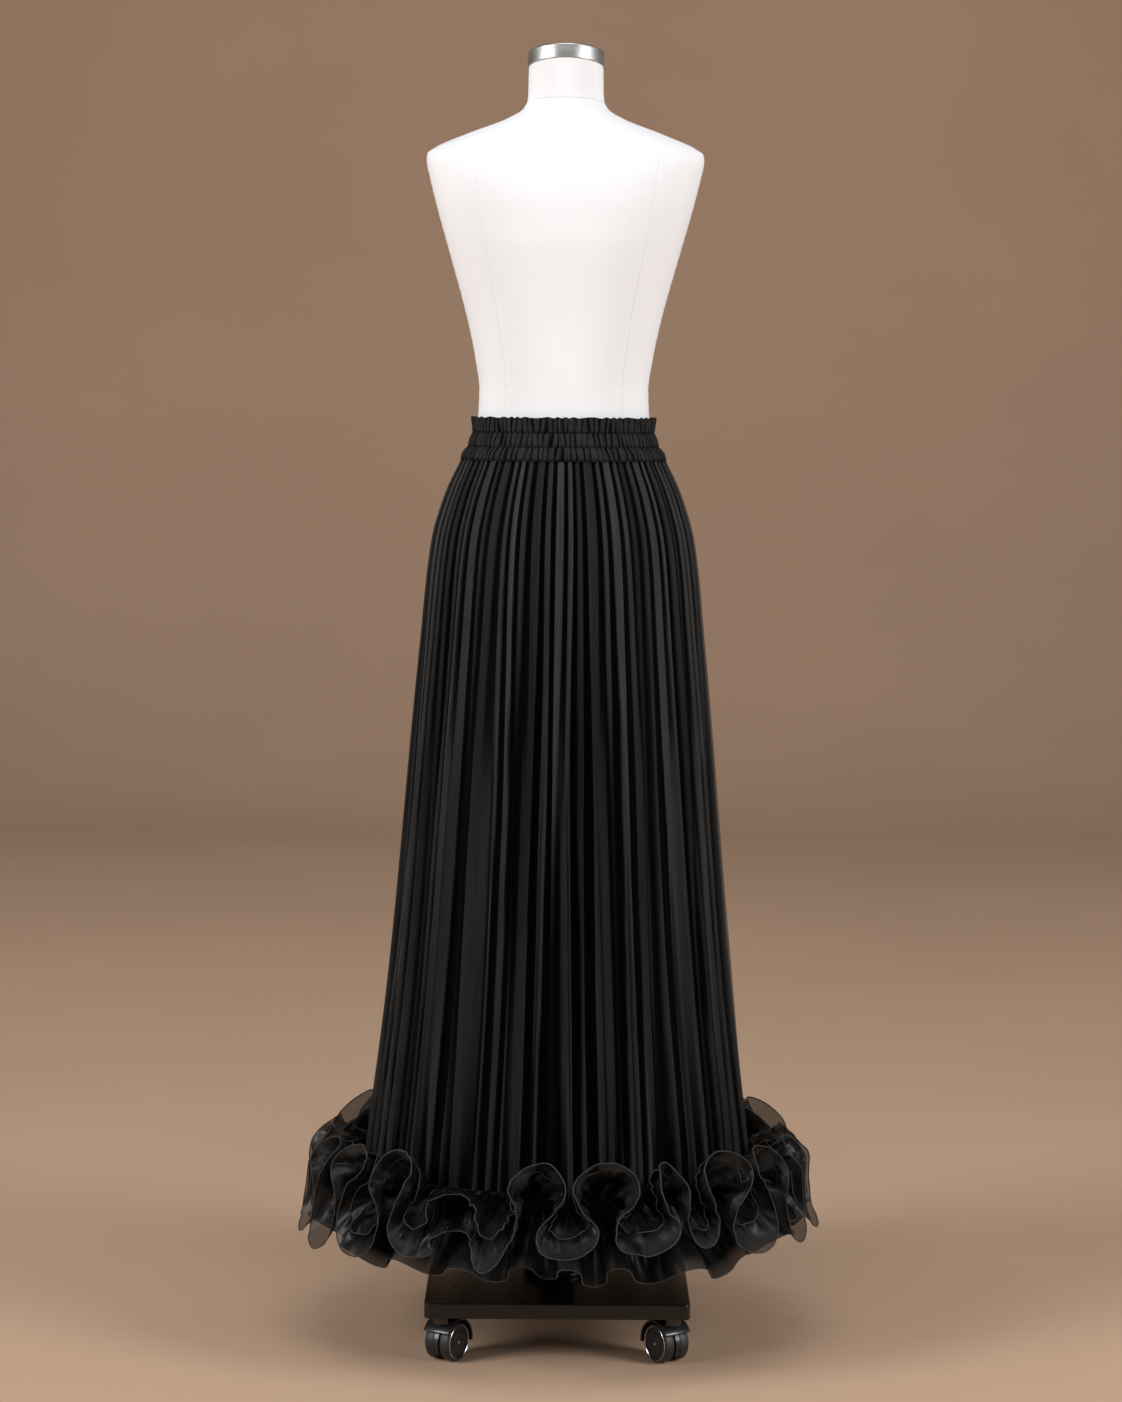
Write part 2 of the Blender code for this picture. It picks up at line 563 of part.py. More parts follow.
def caster_hood(name, black_plastic):
    """A caster's hood, web, boss and stem in its own frame: stem on Z, axle along Y at +X."""
    axle = Vector((CASTER_TRAIL, 0.0, WHEEL_RADIUS * math.cos(math.pi / WHEEL_SIDES)))
    inner = WHEEL_RADIUS + HOOD_CLEARANCE
    outer = inner + HOOD_WALL
    half_width = WHEEL_SPACE / 2 + WHEEL_WIDTH + HOOD_SIDE_CLEARANCE
    first, last, parts = math.radians(-8.0), math.radians(148.0), 8
    arc = [first + (last - first) * i / parts for i in range(parts + 1)]

    def fender():
        shape = bmesh.new()
        rim = [(outer, a) for a in arc] + [(inner, a) for a in reversed(arc)]
        points = [
            shape.verts.new(axle + Vector((r * math.cos(a), -half_width, r * math.sin(a))))
            for r, a in rim
        ]
        base = shape.faces.new(points)
        grown = bmesh.ops.extrude_face_region(shape, geom=[base])["geom"]
        moved = [item for item in grown if isinstance(item, bmesh.types.BMVert)]
        bmesh.ops.translate(shape, vec=(0, 2 * half_width, 0), verts=moved)
        bmesh.ops.recalc_face_normals(shape, faces=shape.faces)
        return shape

    def web():
        shape = bmesh.new()
        middle = (inner + outer) / 2
        rim = [(middle * math.cos(a), middle * math.sin(a)) for a in arc]
        foot = [(-0.0085, 0.0), (-0.0060, -0.0060), (0.0, -0.0085), (0.0060, -0.0060), (0.0085, -0.0030)]
        points = [
            shape.verts.new(axle + Vector((x, -WEB_WIDTH / 2, z))) for x, z in rim + foot
        ]
        base = shape.faces.new(points)
        grown = bmesh.ops.extrude_face_region(shape, geom=[base])["geom"]
        moved = [item for item in grown if isinstance(item, bmesh.types.BMVert)]
        bmesh.ops.translate(shape, vec=(0, WEB_WIDTH, 0), verts=moved)
        bmesh.ops.recalc_face_normals(shape, faces=shape.faces)
        return shape

    body = piece_from(name, fender(), black_plastic, smooth_under=40)
    web_part = piece_from(name + "_web", web(), black_plastic)
    boss_low = axle.z + inner + HOOD_WALL / 2
    stem_top = PLATE_BOTTOM_Z + STEM_DEPTH
    boss = (
        (axle.z + 0.012, 0.0),
        (axle.z + 0.012, 0.0028),
        (boss_low - 0.0050, 0.0028),
        (boss_low - 0.0015, BOSS_RADIUS),
        (BOSS_TOP_Z, BOSS_RADIUS),
        (BOSS_TOP_Z, STEM_RADIUS),
        (stem_top, STEM_RADIUS),
        (stem_top, 0.0),
    )
    boss_part = turned(name + "_boss", boss, 12, black_plastic)
    bore = turned(
        name + "_bore",
        ((-0.02, 0.0), (-0.02, AXLE_RADIUS + 0.0004), (0.02, AXLE_RADIUS + 0.0004), (0.02, 0.0)),
        10, black_plastic, axis=(0, 1, 0), centre=axle,
    )
    for helper, operation in ((web_part, "UNION"), (boss_part, "UNION"), (bore, "DIFFERENCE")):
        helper.hide_render = True
        helper.display_type = "WIRE"
        step = body.modifiers.new(helper.name, "BOOLEAN")
        step.operation = operation
        step.object = helper
    return body, (web_part, boss_part, bore), axle


def build_casters(black_plastic, tyre):
    inner_face = WHEEL_SPACE / 2
    outer_face = inner_face + WHEEL_WIDTH
    profile = (
        (-outer_face, 0.0), (-outer_face, WHEEL_RADIUS), (-inner_face, WHEEL_RADIUS),
        (-inner_face, AXLE_RADIUS), (inner_face, AXLE_RADIUS), (inner_face, WHEEL_RADIUS),
        (outer_face, WHEEL_RADIUS), (outer_face, 0.0),
    )
    for corner, side_x, side_y, trail in CASTERS:
        pivot = bpy.data.objects.new("caster_" + corner + "_pivot", None)
        bpy.context.scene.collection.objects.link(pivot)
        pivot.location = (side_x * CASTER_SWIVEL_OFFSET, side_y * CASTER_SWIVEL_OFFSET, 0.0)
        pivot.rotation_euler = (0.0, 0.0, math.radians(trail))
        hood, helpers, axle = caster_hood("caster_" + corner + "_hood", black_plastic)
        for item in (hood, *helpers):
            item.parent = pivot
        wheels = turned("caster_" + corner + "_wheels", profile, WHEEL_SIDES, tyre, axis=(0, 1, 0))
        wheels.parent = pivot
        wheels.location = axle


# ---------------------------------------------------------------- the whole
def main():
    clear_scene()
    chiffon = finish("black_chiffon", (0.012, 0.011, 0.011), 0.62)
    satin = finish("black_lining", (0.006, 0.006, 0.006), 0.50)
    organza = finish("black_organza", (0.018, 0.017, 0.017), 0.38)
    jersey = finish("white_jersey", (0.83, 0.82, 0.81), 0.85)
    steel = finish("brushed_steel", (0.62, 0.60, 0.57), 0.30, 1.0)
    black_steel = finish("black_gloss_steel", (0.010, 0.010, 0.010), 0.18, 0.2)
    black_plastic = finish("black_plastic", (0.014, 0.014, 0.015), 0.35)
    tyre = finish("caster_tyre", (0.030, 0.030, 0.032), 0.45)
    build_form(jersey, steel)
    build_waistband(chiffon)
    build_skirt(chiffon)
    build_lining(satin)
    build_ruffle(organza)
    build_under_ruffle(organza)
    build_stand(black_steel)
    build_casters(black_plastic, tyre)


main()
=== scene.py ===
# %% [markdown]
# # A gathered black maxi skirt on a dress form, in Blender
#
# The skirt is black chiffon, gathered on to a shirred band at the waist, over an opaque lining.
# A stiff organza ruffle with a corded edge runs round the hem. It hangs on a limbless white
# dress form that stands on a square black plate with four casters.
#
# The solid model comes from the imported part, and gives every size here. Each cell below dresses
# one piece of it: first what the piece is on the real object, then how it is made.

# %% Load the frame and note its box
import bpy
import bmesh
import math
import numpy as np
from mathutils import Matrix, Vector, noise


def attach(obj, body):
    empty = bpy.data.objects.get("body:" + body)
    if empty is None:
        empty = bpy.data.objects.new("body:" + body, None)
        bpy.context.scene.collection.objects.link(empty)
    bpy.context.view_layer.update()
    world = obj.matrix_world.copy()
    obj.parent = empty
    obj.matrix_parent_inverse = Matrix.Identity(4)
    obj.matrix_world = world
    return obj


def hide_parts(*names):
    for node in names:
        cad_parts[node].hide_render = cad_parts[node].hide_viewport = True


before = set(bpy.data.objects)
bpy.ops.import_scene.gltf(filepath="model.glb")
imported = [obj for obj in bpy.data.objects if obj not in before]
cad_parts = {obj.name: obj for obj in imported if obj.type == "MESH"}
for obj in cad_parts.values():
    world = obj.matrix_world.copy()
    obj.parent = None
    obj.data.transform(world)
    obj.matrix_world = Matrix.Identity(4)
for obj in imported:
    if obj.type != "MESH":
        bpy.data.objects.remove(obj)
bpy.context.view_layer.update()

# %% [markdown]
# ## The camera
#
# The picture was taken from behind the form, 4.2 m away, at about the height of the waistband,
# with a long lens that looks down a little. The frame is taller than it is wide, so the lens is
# given against the frame's height. A turn of less than half a degree round the line of sight
# sets the stand's slight lean in the picture. The plain Standard view keeps black cloth black and
# the white form white, as the picture has them.

# %% Place the camera
CAMERA_PLACE = (-0.0007, -4.2, 1.228)
CAMERA_LENS = 83.0
DEGREES_DOWN = 5.3
DEGREES_OF_LEAN = 0.42
camera = bpy.data.objects.new("camera", bpy.data.cameras.new("camera"))
bpy.context.scene.collection.objects.link(camera)
camera.data.sensor_fit = "VERTICAL"
camera.data.sensor_height = 36.0
camera.data.lens = CAMERA_LENS
aim = (Matrix.Rotation(math.radians(90.0 - DEGREES_DOWN), 4, "X")
       @ Matrix.Rotation(math.radians(DEGREES_OF_LEAN), 4, "Z"))
camera.matrix_world = Matrix.Translation(CAMERA_PLACE) @ aim
bpy.context.scene.camera = camera
bpy.context.scene.view_settings.view_transform = "Standard"
print("camera lens, mm:", camera.data.lens)

# %% [markdown]
# ## Studio
#
# A seamless paper backdrop hangs behind the form and runs forward over the floor. It is one
# profile pushed sideways: floor, a quarter circle for the cove, and the wall. The floor is long
# and the wall stands far back, so that the form can be looked at from all round. Large soft
# lights stand to both sides of the camera and above, so that the folds read as soft bands.

# %% Helpers for pieces
def new_piece(name, shape):
    """A mesh object from a bmesh, which it uses up."""
    mesh = bpy.data.meshes.new(name)
    shape.to_mesh(mesh)
    shape.free()
    made = bpy.data.objects.new(name, mesh)
    bpy.context.scene.collection.objects.link(made)
    return made


def smooth(piece, sharp_over=None):
    """Shades a piece smooth, and keeps edges sharper than the given angle."""
    piece.data.shade_smooth()
    if sharp_over is not None:
        piece.data.set_sharp_from_angle(angle=math.radians(sharp_over))
    return piece


def points_in(geometry):
    """The vertices in the mixed list that a bmesh operator returns."""
    return [part for part in geometry if isinstance(part, bmesh.types.BMVert)]


print("piece helpers ready")

# %% Make the backdrop
PAPER_WIDTH = 24.0
PAPER_LEFT = -12.0
PAPER_FRONT = -14.0
PAPER_TOP = 6.0
COVE = 2.2
COVE_FOOT = 4.9
shape = bmesh.new()
start = shape.verts.new((PAPER_LEFT, PAPER_FRONT, 0.0))
cove_foot = shape.verts.new((PAPER_LEFT, COVE_FOOT, 0.0))
cove = bmesh.ops.spin(
    shape, geom=[cove_foot], cent=(PAPER_LEFT, COVE_FOOT, COVE), axis=(1, 0, 0),
    angle=math.pi / 2, steps=24,
)
cove_head = points_in(cove["geom_last"])[0]
wall_head = shape.verts.new((PAPER_LEFT, COVE_FOOT + COVE, PAPER_TOP))
shape.edges.new((start, cove_foot))
shape.edges.new((cove_head, wall_head))
pushed = bmesh.ops.extrude_edge_only(shape, edges=shape.edges[:])
bmesh.ops.translate(shape, vec=(PAPER_WIDTH, 0, 0), verts=points_in(pushed["geom"]))
bmesh.ops.recalc_face_normals(shape, faces=shape.faces)
backdrop = smooth(new_piece("backdrop", shape))
print("backdrop faces:", len(backdrop.data.polygons))

# %% [markdown]
# ## Materials
#
# Every finish is a small node tree on the Principled shader. A helper makes the shader with its
# constant values set on its own sockets, and later cells hang textures on it only where a value
# really varies over the surface.

# %% A shader with its constants
def shader_of(made):
    return made.node_tree.nodes["Principled BSDF"]


def material(name, colour, roughness, **values):
    """A material on the Principled shader, with constants on the shader's own sockets."""
    made = bpy.data.materials.new(name)
    made.use_nodes = True
    shader = shader_of(made)
    shader.inputs["Base Color"].default_value = (*colour, 1.0)
    shader.inputs["Roughness"].default_value = roughness
    for socket, value in values.items():
        shader.inputs[socket.replace("_", " ")].default_value = value
    return made


def dress(piece, made):
    """Gives a piece one material in place of what it had."""
    piece.data.materials.clear()
    piece.data.materials.append(made)
    return piece


def node(made, kind, **settings):
    """Adds a node and sets its properties, or its sockets by name."""
    added = made.node_tree.nodes.new(kind)
    for key, value in settings.items():
        if hasattr(added, key):
            setattr(added, key, value)
        else:
            added.inputs[key.replace("_", " ")].default_value = value
    return added


def link(made, source, target, into):
    """Joins an output to a node's input, which is given by its name or number."""
    made.node_tree.links.new(source, target.inputs[into])


print("shader helpers ready")

# %% [markdown]
# Two kinds of texture are enough here. Noise, stretched along one axis or another, stands for
# crinkles, clouds and brushing. Two crossed waves on the cloth's own UV map stand for a weave.
# Both give one number between 0 and 1, and the cell after this one says what it may drive.
# Blender's wave texture turns by 20 radians over one unit when its scale is 1, so the scale for
# a wanted number of turns is that number divided by 20.

# %% Textures
WAVE_PHASE = 20.0


def stretched_noise(made, coordinates, scale, detail=3.0):
    """Noise on a coordinate set, stretched by a scale for each axis."""
    source = node(made, "ShaderNodeTexCoord")
    mapping = node(made, "ShaderNodeMapping", Scale=scale)
    noise = node(made, "ShaderNodeTexNoise", Scale=1.0, Detail=detail)
    link(made, source.outputs[coordinates], mapping, "Vector")
    link(made, mapping.outputs["Vector"], noise, "Vector")
    return noise.outputs["Fac"]


def weave_on_uv(made, turns):
    """Two crossed sets of threads on the UV map, as a height from 0 to 1. Each is a wave that
    turns by so many radians over one unit of the map, which is a metre of cloth."""
    source = node(made, "ShaderNodeTexCoord")
    both = node(made, "ShaderNodeMath", operation="MULTIPLY")
    for number, direction in enumerate(("X", "Y")):
        wave = node(made, "ShaderNodeTexWave", wave_type="BANDS", bands_direction=direction,
                    Scale=turns / WAVE_PHASE, Distortion=0.6, Detail=1.0)
        link(made, source.outputs["UV"], wave, "Vector")
        link(made, wave.outputs["Fac"], both, number)
    return both.outputs[0]


print("texture helpers ready")

# %% What a texture drives
def varied(made, height, low, high, socket):
    """Lets a height field move one of the shader's numbers between two values."""
    spread = node(made, "ShaderNodeMapRange", To_Min=low, To_Max=high)
    link(made, height, spread, "Value")
    link(made, spread.outputs["Result"], shader_of(made), socket)


def mixed(made, amount, dark, light, low=0.0, high=1.0):
    """Mixes the base colour from dark to light as an amount goes from low to high."""
    ramp = node(made, "ShaderNodeValToRGB")
    for stop, place, colour in zip(ramp.color_ramp.elements, (low, high), (dark, light)):
        stop.position = place
        stop.color = (*colour, 1.0)
    link(made, amount, ramp, "Fac")
    link(made, ramp.outputs["Color"], shader_of(made), "Base Color")


def tinted(made, height, dark, light):
    """Lets a height field, which noise keeps near its middle, mix two colours."""
    mixed(made, height, dark, light, 0.30, 0.70)


def paint_light_and_shade(made, height, valley, ridge, strongest):
    """Paints light and shade into the base colour: mixes a valley's colour, as painted shade, and a
    ridge's colour, as painted light, by the cloth's shade value, and lets a height field darken or
    lighten it a little."""
    # The shade value: painted light on ridges, painted shade in valleys.
    shade = node(made, "ShaderNodeAttribute", attribute_name="shade")
    uneven = node(made, "ShaderNodeMapRange", From_Min=0.3, From_Max=0.7,
                  To_Min=1.0 - strongest, To_Max=1.0 + strongest)
    both = node(made, "ShaderNodeMath", operation="MULTIPLY")
    link(made, height, uneven, "Value")
    link(made, shade.outputs["Fac"], both, 0)
    link(made, uneven.outputs["Result"], both, 1)
    mixed(made, both.outputs["Value"], valley, ridge)


def bumped(made, layers):
    """Stacks bump nodes: a (height, strength, distance in metres) for each layer."""
    below = None
    for height, strength, distance in layers:
        bump = node(made, "ShaderNodeBump", Strength=strength, Distance=distance)
        link(made, height, bump, "Height")
        if below is not None:
            link(made, below.outputs["Normal"], bump, "Normal")
        below = bump
    link(made, below.outputs["Normal"], shader_of(made), "Normal")


print("material helpers ready")

# %% [markdown]
# The paper is a warm sand colour with a faint mottle. The world adds a little even light, so
# that no shadow is quite empty. Everything else comes from four large lamps: one to each side,
# one overhead, and a weaker one that only reaches the paper behind the form.

# %% Paper, air and lamps
paper = material("backdrop_paper", (0.545, 0.365, 0.245), 0.9, Specular_IOR_Level=0.2)
mottle = stretched_noise(paper, "Object", (0.9, 0.9, 0.9), 4.0)
tinted(paper, mottle, (0.525, 0.350, 0.236), (0.570, 0.382, 0.258))
dress(backdrop, paper)

world = bpy.data.worlds.new("studio_air")
bpy.context.scene.world = world
world.use_nodes = True
air = world.node_tree.nodes["Background"]
air.inputs["Color"].default_value = (0.97, 0.98, 1.0, 1.0)
air.inputs["Strength"].default_value = 0.10
LAMP_COLOUR = (0.975, 0.985, 1.0)
LAMPS = (
    # name, place, target, width and height, watts
    ("left_light", (-3.7, -2.2, 2.5), (0, 0, 0.9), (1.6, 2.8), 171.0),
    ("right_light", (3.8, -2.1, 2.3), (0, 0, 0.9), (1.6, 2.8), 160.0),
    ("top_light", (0.0, -1.6, 4.4), (0, 0, 0.9), (2.4, 1.6), 45.0),
    ("wall_light", (0.0, 1.8, 4.2), (0, 5.6, 1.2), (4.5, 0.8), 45.0),
)


def soft_light(name, place, target, size, power):
    """A rectangular lamp at a place, turned to a target."""
    lamp = bpy.data.objects.new(name, bpy.data.lights.new(name, "AREA"))
    bpy.context.scene.collection.objects.link(lamp)
    lamp.data.shape = "RECTANGLE"
    lamp.data.size, lamp.data.size_y = size
    lamp.data.energy = power
    lamp.data.color = LAMP_COLOUR
    turn = (Vector(target) - Vector(place)).to_track_quat("-Z", "Y").to_matrix().to_4x4()
    lamp.matrix_world = Matrix.Translation(place) @ turn
    return lamp


for lamp in LAMPS:
    soft_light(*lamp)

# %% [markdown]
# ## How the body is measured
#
# The form and the skirt are both egg-shaped tubes. A table gives their half width and their
# depth to the front and to the back at a few heights, as a pattern cutter's measurements would,
# and smooth curves run through those rows. Angle 0 is the centre back, a quarter turn is the
# right side as the camera sees it.

# %% Smooth curves through a table
def through(rows, at):
    """Every column of a table, at new values of its first column, on a smooth curve that
    doesn't swing past its rows."""
    table = np.array(rows, float)
    x, y = table[:, 0], table[:, 1:]
    step = np.diff(x)[:, None]
    slope = np.diff(y, axis=0) / step
    tangent = np.zeros_like(y)
    same = slope[:-1] * slope[1:] > 0
    near, far = step[:-1] + 2 * step[1:], 2 * step[:-1] + step[1:]
    with np.errstate(divide="ignore", invalid="ignore"):
        blend = (near + far) / (near / slope[:-1] + far / slope[1:])
    tangent[1:-1] = np.where(same, blend, 0.0)
    tangent[0], tangent[-1] = slope[0], slope[-1]
    at = np.clip(np.asarray(at, float), x[0], x[-1])
    i = np.clip(np.searchsorted(x, at) - 1, 0, len(x) - 2)
    h = (x[i + 1] - x[i])[..., None]
    t = (at[..., None] - x[i][..., None]) / h
    a, b = y[i], y[i + 1]
    ta, tb = tangent[i] * h, tangent[i + 1] * h
    return (
        a * (1 + 2 * t) * (1 - t) ** 2 + ta * t * (1 - t) ** 2
        + b * t**2 * (3 - 2 * t) + tb * t**2 * (t - 1)
    )


def egg(angle, half_width, front, back):
    """X and Y of a point of an egg-shaped section."""
    reach = np.where(np.cos(angle) > 0.0, back, front)
    return half_width * np.sin(angle), -reach * np.cos(angle)


def ease(low, high, value):
    """0 at low and before it, 1 at high and beyond, and a soft step between them."""
    t = np.clip((value - low) / (high - low), 0.0, 1.0)
    return t * t * (3 - 2 * t)


print("at 3 of (1, 10), (2, 20), (4, 10):", through([(1, 10), (2, 20), (4, 10)], [3.0])[0])

# %% [markdown]
# ## Cloth from a flat grid
#
# Each piece of cloth starts as Blender's own flat grid, with a UV map, as cloth starts flat on a
# cutting table. A function then carries each point from its place on the grid, u across and v
# up, to its place on the body. The UV map is scaled to about the metres of cloth that run over
# the folds, so that the weave follows them and does not stretch with them. Where the function
# gives a fourth value, it is kept on the mesh as "shade", a painted shade: black cloth shows its
# folds mostly by how much cloth faces out, and the finishes use it to paint light on the ridges
# and shade in the valleys and creases into the base colour.

# %% Helpers that hang a grid
def hang(name, across, down, place, run):
    """A sheet of across by down cells. place(u, v) gives the points for u and v from 0 to 1, and
    maybe their painted shade, and run is what the UV map says that the cloth measures, in metres."""
    shape = bmesh.new()
    shape.loops.layers.uv.new("cloth")
    bmesh.ops.create_grid(shape, x_segments=across, y_segments=down, size=0.5, calc_uvs=True)
    piece = new_piece(name, shape)
    mesh = piece.data
    flat = np.empty(len(mesh.vertices) * 3)
    mesh.vertices.foreach_get("co", flat)
    flat = flat.reshape(-1, 3)
    u = np.clip(flat[:, 0] + 0.5, 0.0, 1.0)
    v = np.clip(flat[:, 1] + 0.5, 0.0, 1.0)
    placed = np.stack(np.broadcast_arrays(*place(u, v)), axis=1)
    mesh.vertices.foreach_set("co", placed[:, :3].ravel())
    # The painted shade is kept on the mesh, so that the finishes can paint light and shade into the
    # colour.
    if placed.shape[1] == 4:
        shade = mesh.attributes.new("shade", "FLOAT", "POINT")
        shade.data.foreach_set("value", np.clip(placed[:, 3], 0.0, 1.0))
    uv = np.empty(len(mesh.loops) * 2)
    mesh.uv_layers["cloth"].uv.foreach_get("vector", uv)
    uv = uv.reshape(-1, 2) * np.array(run)
    mesh.uv_layers["cloth"].uv.foreach_set("vector", uv.ravel())
    mesh.update()
    return smooth(piece)


def cloth_area(piece):
    """The area of a piece's faces, in square metres."""
    mesh = piece.data
    areas = np.empty(len(mesh.polygons))
    mesh.polygons.foreach_get("area", areas)
    return float(areas.sum())


HALVES = (("back", -math.pi / 2), ("front", math.pi / 2))


def half_round(on_cloth, first_angle, low, high):
    """A place(u, v) for cloth that goes half the way round, from low at v = 0 to high at v = 1."""
    def place(u, v):
        return on_cloth(first_angle + math.pi * u, low + (high - low) * v)
    return place


print("cloth helpers ready")

# %% [markdown]
# ## The dress form
#
# The real form is a hard shell with a white jersey cover, sewn from shaped panels. A grid is
# wrapped round the table of sections. Its columns stand close together at the seams, so that
# each seam can be pressed in as a fine groove: centre back, two princess seams, the side seams,
# and the ring where the neck piece is set in. The grid's two sides meet at the centre front,
# where their points are joined, and its open ends are closed with one face each.

# %% The form's sections
FORM_SECTIONS = (
    # row,  z,      half_width, front, back, slope
    (0, 0.8500, 0.1380, 0.1020, 0.1060, 0.0),
    (1, 0.8620, 0.1480, 0.1090, 0.1140, 0.0),
    (2, 0.9200, 0.1580, 0.1160, 0.1230, 0.0),
    (3, 1.0000, 0.1600, 0.1180, 0.1260, 0.0),
    (4, 1.0500, 0.1520, 0.1140, 0.1210, 0.0),
    (5, 1.1050, 0.1410, 0.1080, 0.1110, 0.0),
    (6, 1.1520, 0.1265, 0.1010, 0.0970, 0.0),
    (7, 1.1700, 0.1190, 0.0985, 0.0925, 0.0),
    (8, 1.1880, 0.1142, 0.0960, 0.0890, 0.0),
    (9, 1.2080, 0.1108, 0.0940, 0.0865, 0.0),
    (10, 1.2430, 0.1093, 0.0925, 0.0850, 0.0),
    (11, 1.2810, 0.1144, 0.0960, 0.0855, 0.0),
    (12, 1.3200, 0.1221, 0.1040, 0.0870, 0.0),
    (13, 1.3580, 0.1316, 0.1180, 0.0900, 0.0),
    (14, 1.3970, 0.1425, 0.1270, 0.0940, 0.0),
    (15, 1.4350, 0.1533, 0.1220, 0.0970, 0.0),
    (16, 1.4730, 0.1640, 0.1040, 0.0960, 0.0),
    (17, 1.5110, 0.1736, 0.0840, 0.0890, 0.0),
    (18, 1.5330, 0.1782, 0.0720, 0.0790, 0.0),
    (19, 1.5430, 0.1775, 0.0660, 0.0730, 0.0),
    (20, 1.5520, 0.1660, 0.0620, 0.0690, 0.0),
    (21, 1.5690, 0.1259, 0.0570, 0.0640, 0.0),
    (22, 1.5880, 0.0758, 0.0520, 0.0580, 0.0),
    (23, 1.6010, 0.0545, 0.0480, 0.0520, 0.04),
    (24, 1.6150, 0.0487, 0.0470, 0.0490, 0.10),
    (25, 1.6521, 0.0478, 0.0478, 0.0478, 0.20),
)
SEAM_ANGLES = np.radians([-180.0, -138.0, -90.0, -42.0, 0.0, 42.0, 90.0, 138.0, 180.0])
SEAM_HALF_WIDTH = 0.0011
SEAM_DEPTH = 0.0007
SEAM_COLUMN_STEP = 0.0070
PUCKER_DEPTH = 0.00025
PUCKER_REACH = 0.006
PUCKERS_TURN = 420.0
SHOULDER_ROW = 22.5
NECK_SEAM_ROW = 23.55
NECK_SEAM_ROWS = 0.030
NECK_SEAM_DEPTH = 0.0009


def close_to(marks, plain, halo):
    """Positions from plain, both ends among them, with five more close round each mark."""
    extra = np.concatenate([marks + k * halo for k in (-2.0, -1.0, 0.0, 1.0, 2.0)])
    kept = plain[np.min(np.abs(plain[:, None] - marks[None]), axis=1) > 2.6 * halo]
    both = np.unique(np.round(np.concatenate([extra, kept]), 6))
    inside = both[(both > plain[0] + 1e-4) & (both < plain[-1] - 1e-4)]
    return np.concatenate([plain[:1], inside, plain[-1:]])


form_angles = close_to(SEAM_ANGLES, np.linspace(-math.pi, math.pi, 145), SEAM_COLUMN_STEP)
form_rows = close_to(np.array([NECK_SEAM_ROW]), np.linspace(0.0, 25.0, 201), NECK_SEAM_ROWS)


def on_form(u, v):
    """Points of the form's cover, sunk a little at its seams."""
    angle = np.interp(u, np.linspace(0, 1, len(form_angles)), form_angles)
    row = np.interp(v, np.linspace(0, 1, len(form_rows)), form_rows)
    z, half_width, front, back, slope = through(FORM_SECTIONS, row).T
    off_seam = np.min(np.abs(angle[:, None] - SEAM_ANGLES[None]), axis=1) * half_width
    groove = SEAM_DEPTH * np.exp(-((off_seam / SEAM_HALF_WIDTH) ** 2))
    pucker = PUCKER_DEPTH * np.exp(-((off_seam / PUCKER_REACH) ** 2)) * np.sin(z * PUCKERS_TURN)
    neck = NECK_SEAM_DEPTH * np.exp(-(((row - NECK_SEAM_ROW) / NECK_SEAM_ROWS) ** 2))
    sink = np.where(row < SHOULDER_ROW, groove + pucker, 0.6 * groove) + neck
    x, y = egg(angle, half_width - sink, front - sink, back - sink)
    return x, y, z - slope * y


print("grid of the form:", len(form_angles), "by", len(form_rows), "points")

# %% Wrap the form
form = hang("dress_form", len(form_angles) - 1, len(form_rows) - 1, on_form, (0.9, 0.85))
shape = bmesh.new()
shape.from_mesh(form.data)
bmesh.ops.remove_doubles(shape, verts=shape.verts, dist=1e-5)
ends = bmesh.ops.holes_fill(shape, edges=shape.edges, sides=0)
bmesh.ops.recalc_face_normals(shape, faces=shape.faces)
shape.to_mesh(form.data)
shape.free()
smooth(form, 60)
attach(form, "body")
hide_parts("form_torso")
print("form:", len(form.data.polygons), "faces, ends closed:", len(ends["faces"]))

# %% [markdown]
# Jersey is a knit: under a lens it is rows of tiny loops. Fine ribs on the UV map stand for
# them, with a broad, very faint unevenness where the cover is stretched over the shell.

# %% White jersey
jersey = material("white_jersey", (0.82, 0.81, 0.80), 0.85, Sheen_Weight=0.25,
                  Sheen_Roughness=0.5, Specular_IOR_Level=0.25)
knit = weave_on_uv(jersey, 900.0)
cloud = stretched_noise(jersey, "Object", (9.0, 9.0, 5.0), 3.0)
tinted(jersey, cloud, (0.815, 0.815, 0.825), (0.855, 0.856, 0.866))
bumped(jersey, [(cloud, 0.25, 0.002), (knit, 0.25, 0.0004)])
dress(form, jersey)
print("jersey nodes:", len(jersey.node_tree.nodes))

# %% [markdown]
# ## The steel neck cap
#
# A turned cap sits on the neck, a little tilted, higher at the back. One profile is spun round
# its axis; its edges are rounded in the profile itself. The brushing runs round the cap, so the
# noise of its finish is squeezed along the axis and stretched round it.

# %% Helpers for turned pieces
def turned(name, profile, steps=64):
    """A piece turned from (radius, height) points, with normals outwards and closed poles."""
    shape = bmesh.new()
    points = [shape.verts.new((radius, 0.0, height)) for radius, height in profile]
    for pair in zip(points, points[1:]):
        shape.edges.new(pair)
    bmesh.ops.spin(
        shape, geom=shape.verts[:] + shape.edges[:], cent=(0, 0, 0), axis=(0, 0, 1),
        angle=math.tau, steps=steps, use_merge=True,
    )
    bmesh.ops.remove_doubles(shape, verts=shape.verts, dist=1e-6)
    bmesh.ops.recalc_face_normals(shape, faces=shape.faces)
    return smooth(new_piece(name, shape), 35)


def put(piece, matrix):
    """Moves a piece's mesh, so that its object stays at the origin."""
    piece.data.transform(matrix)
    piece.data.update()
    return piece


print("turning helpers ready")

# %% Turn the cap
CAP_RADIUS = 0.0497
CAP_HEIGHT = 0.0195
CAP_EDGE = 0.0025
CAP_CHAMFER = 0.0006
CAP_GAP = 0.0003
NECK_TOP_Z = 1.6521
NECK_SLOPE = 0.20


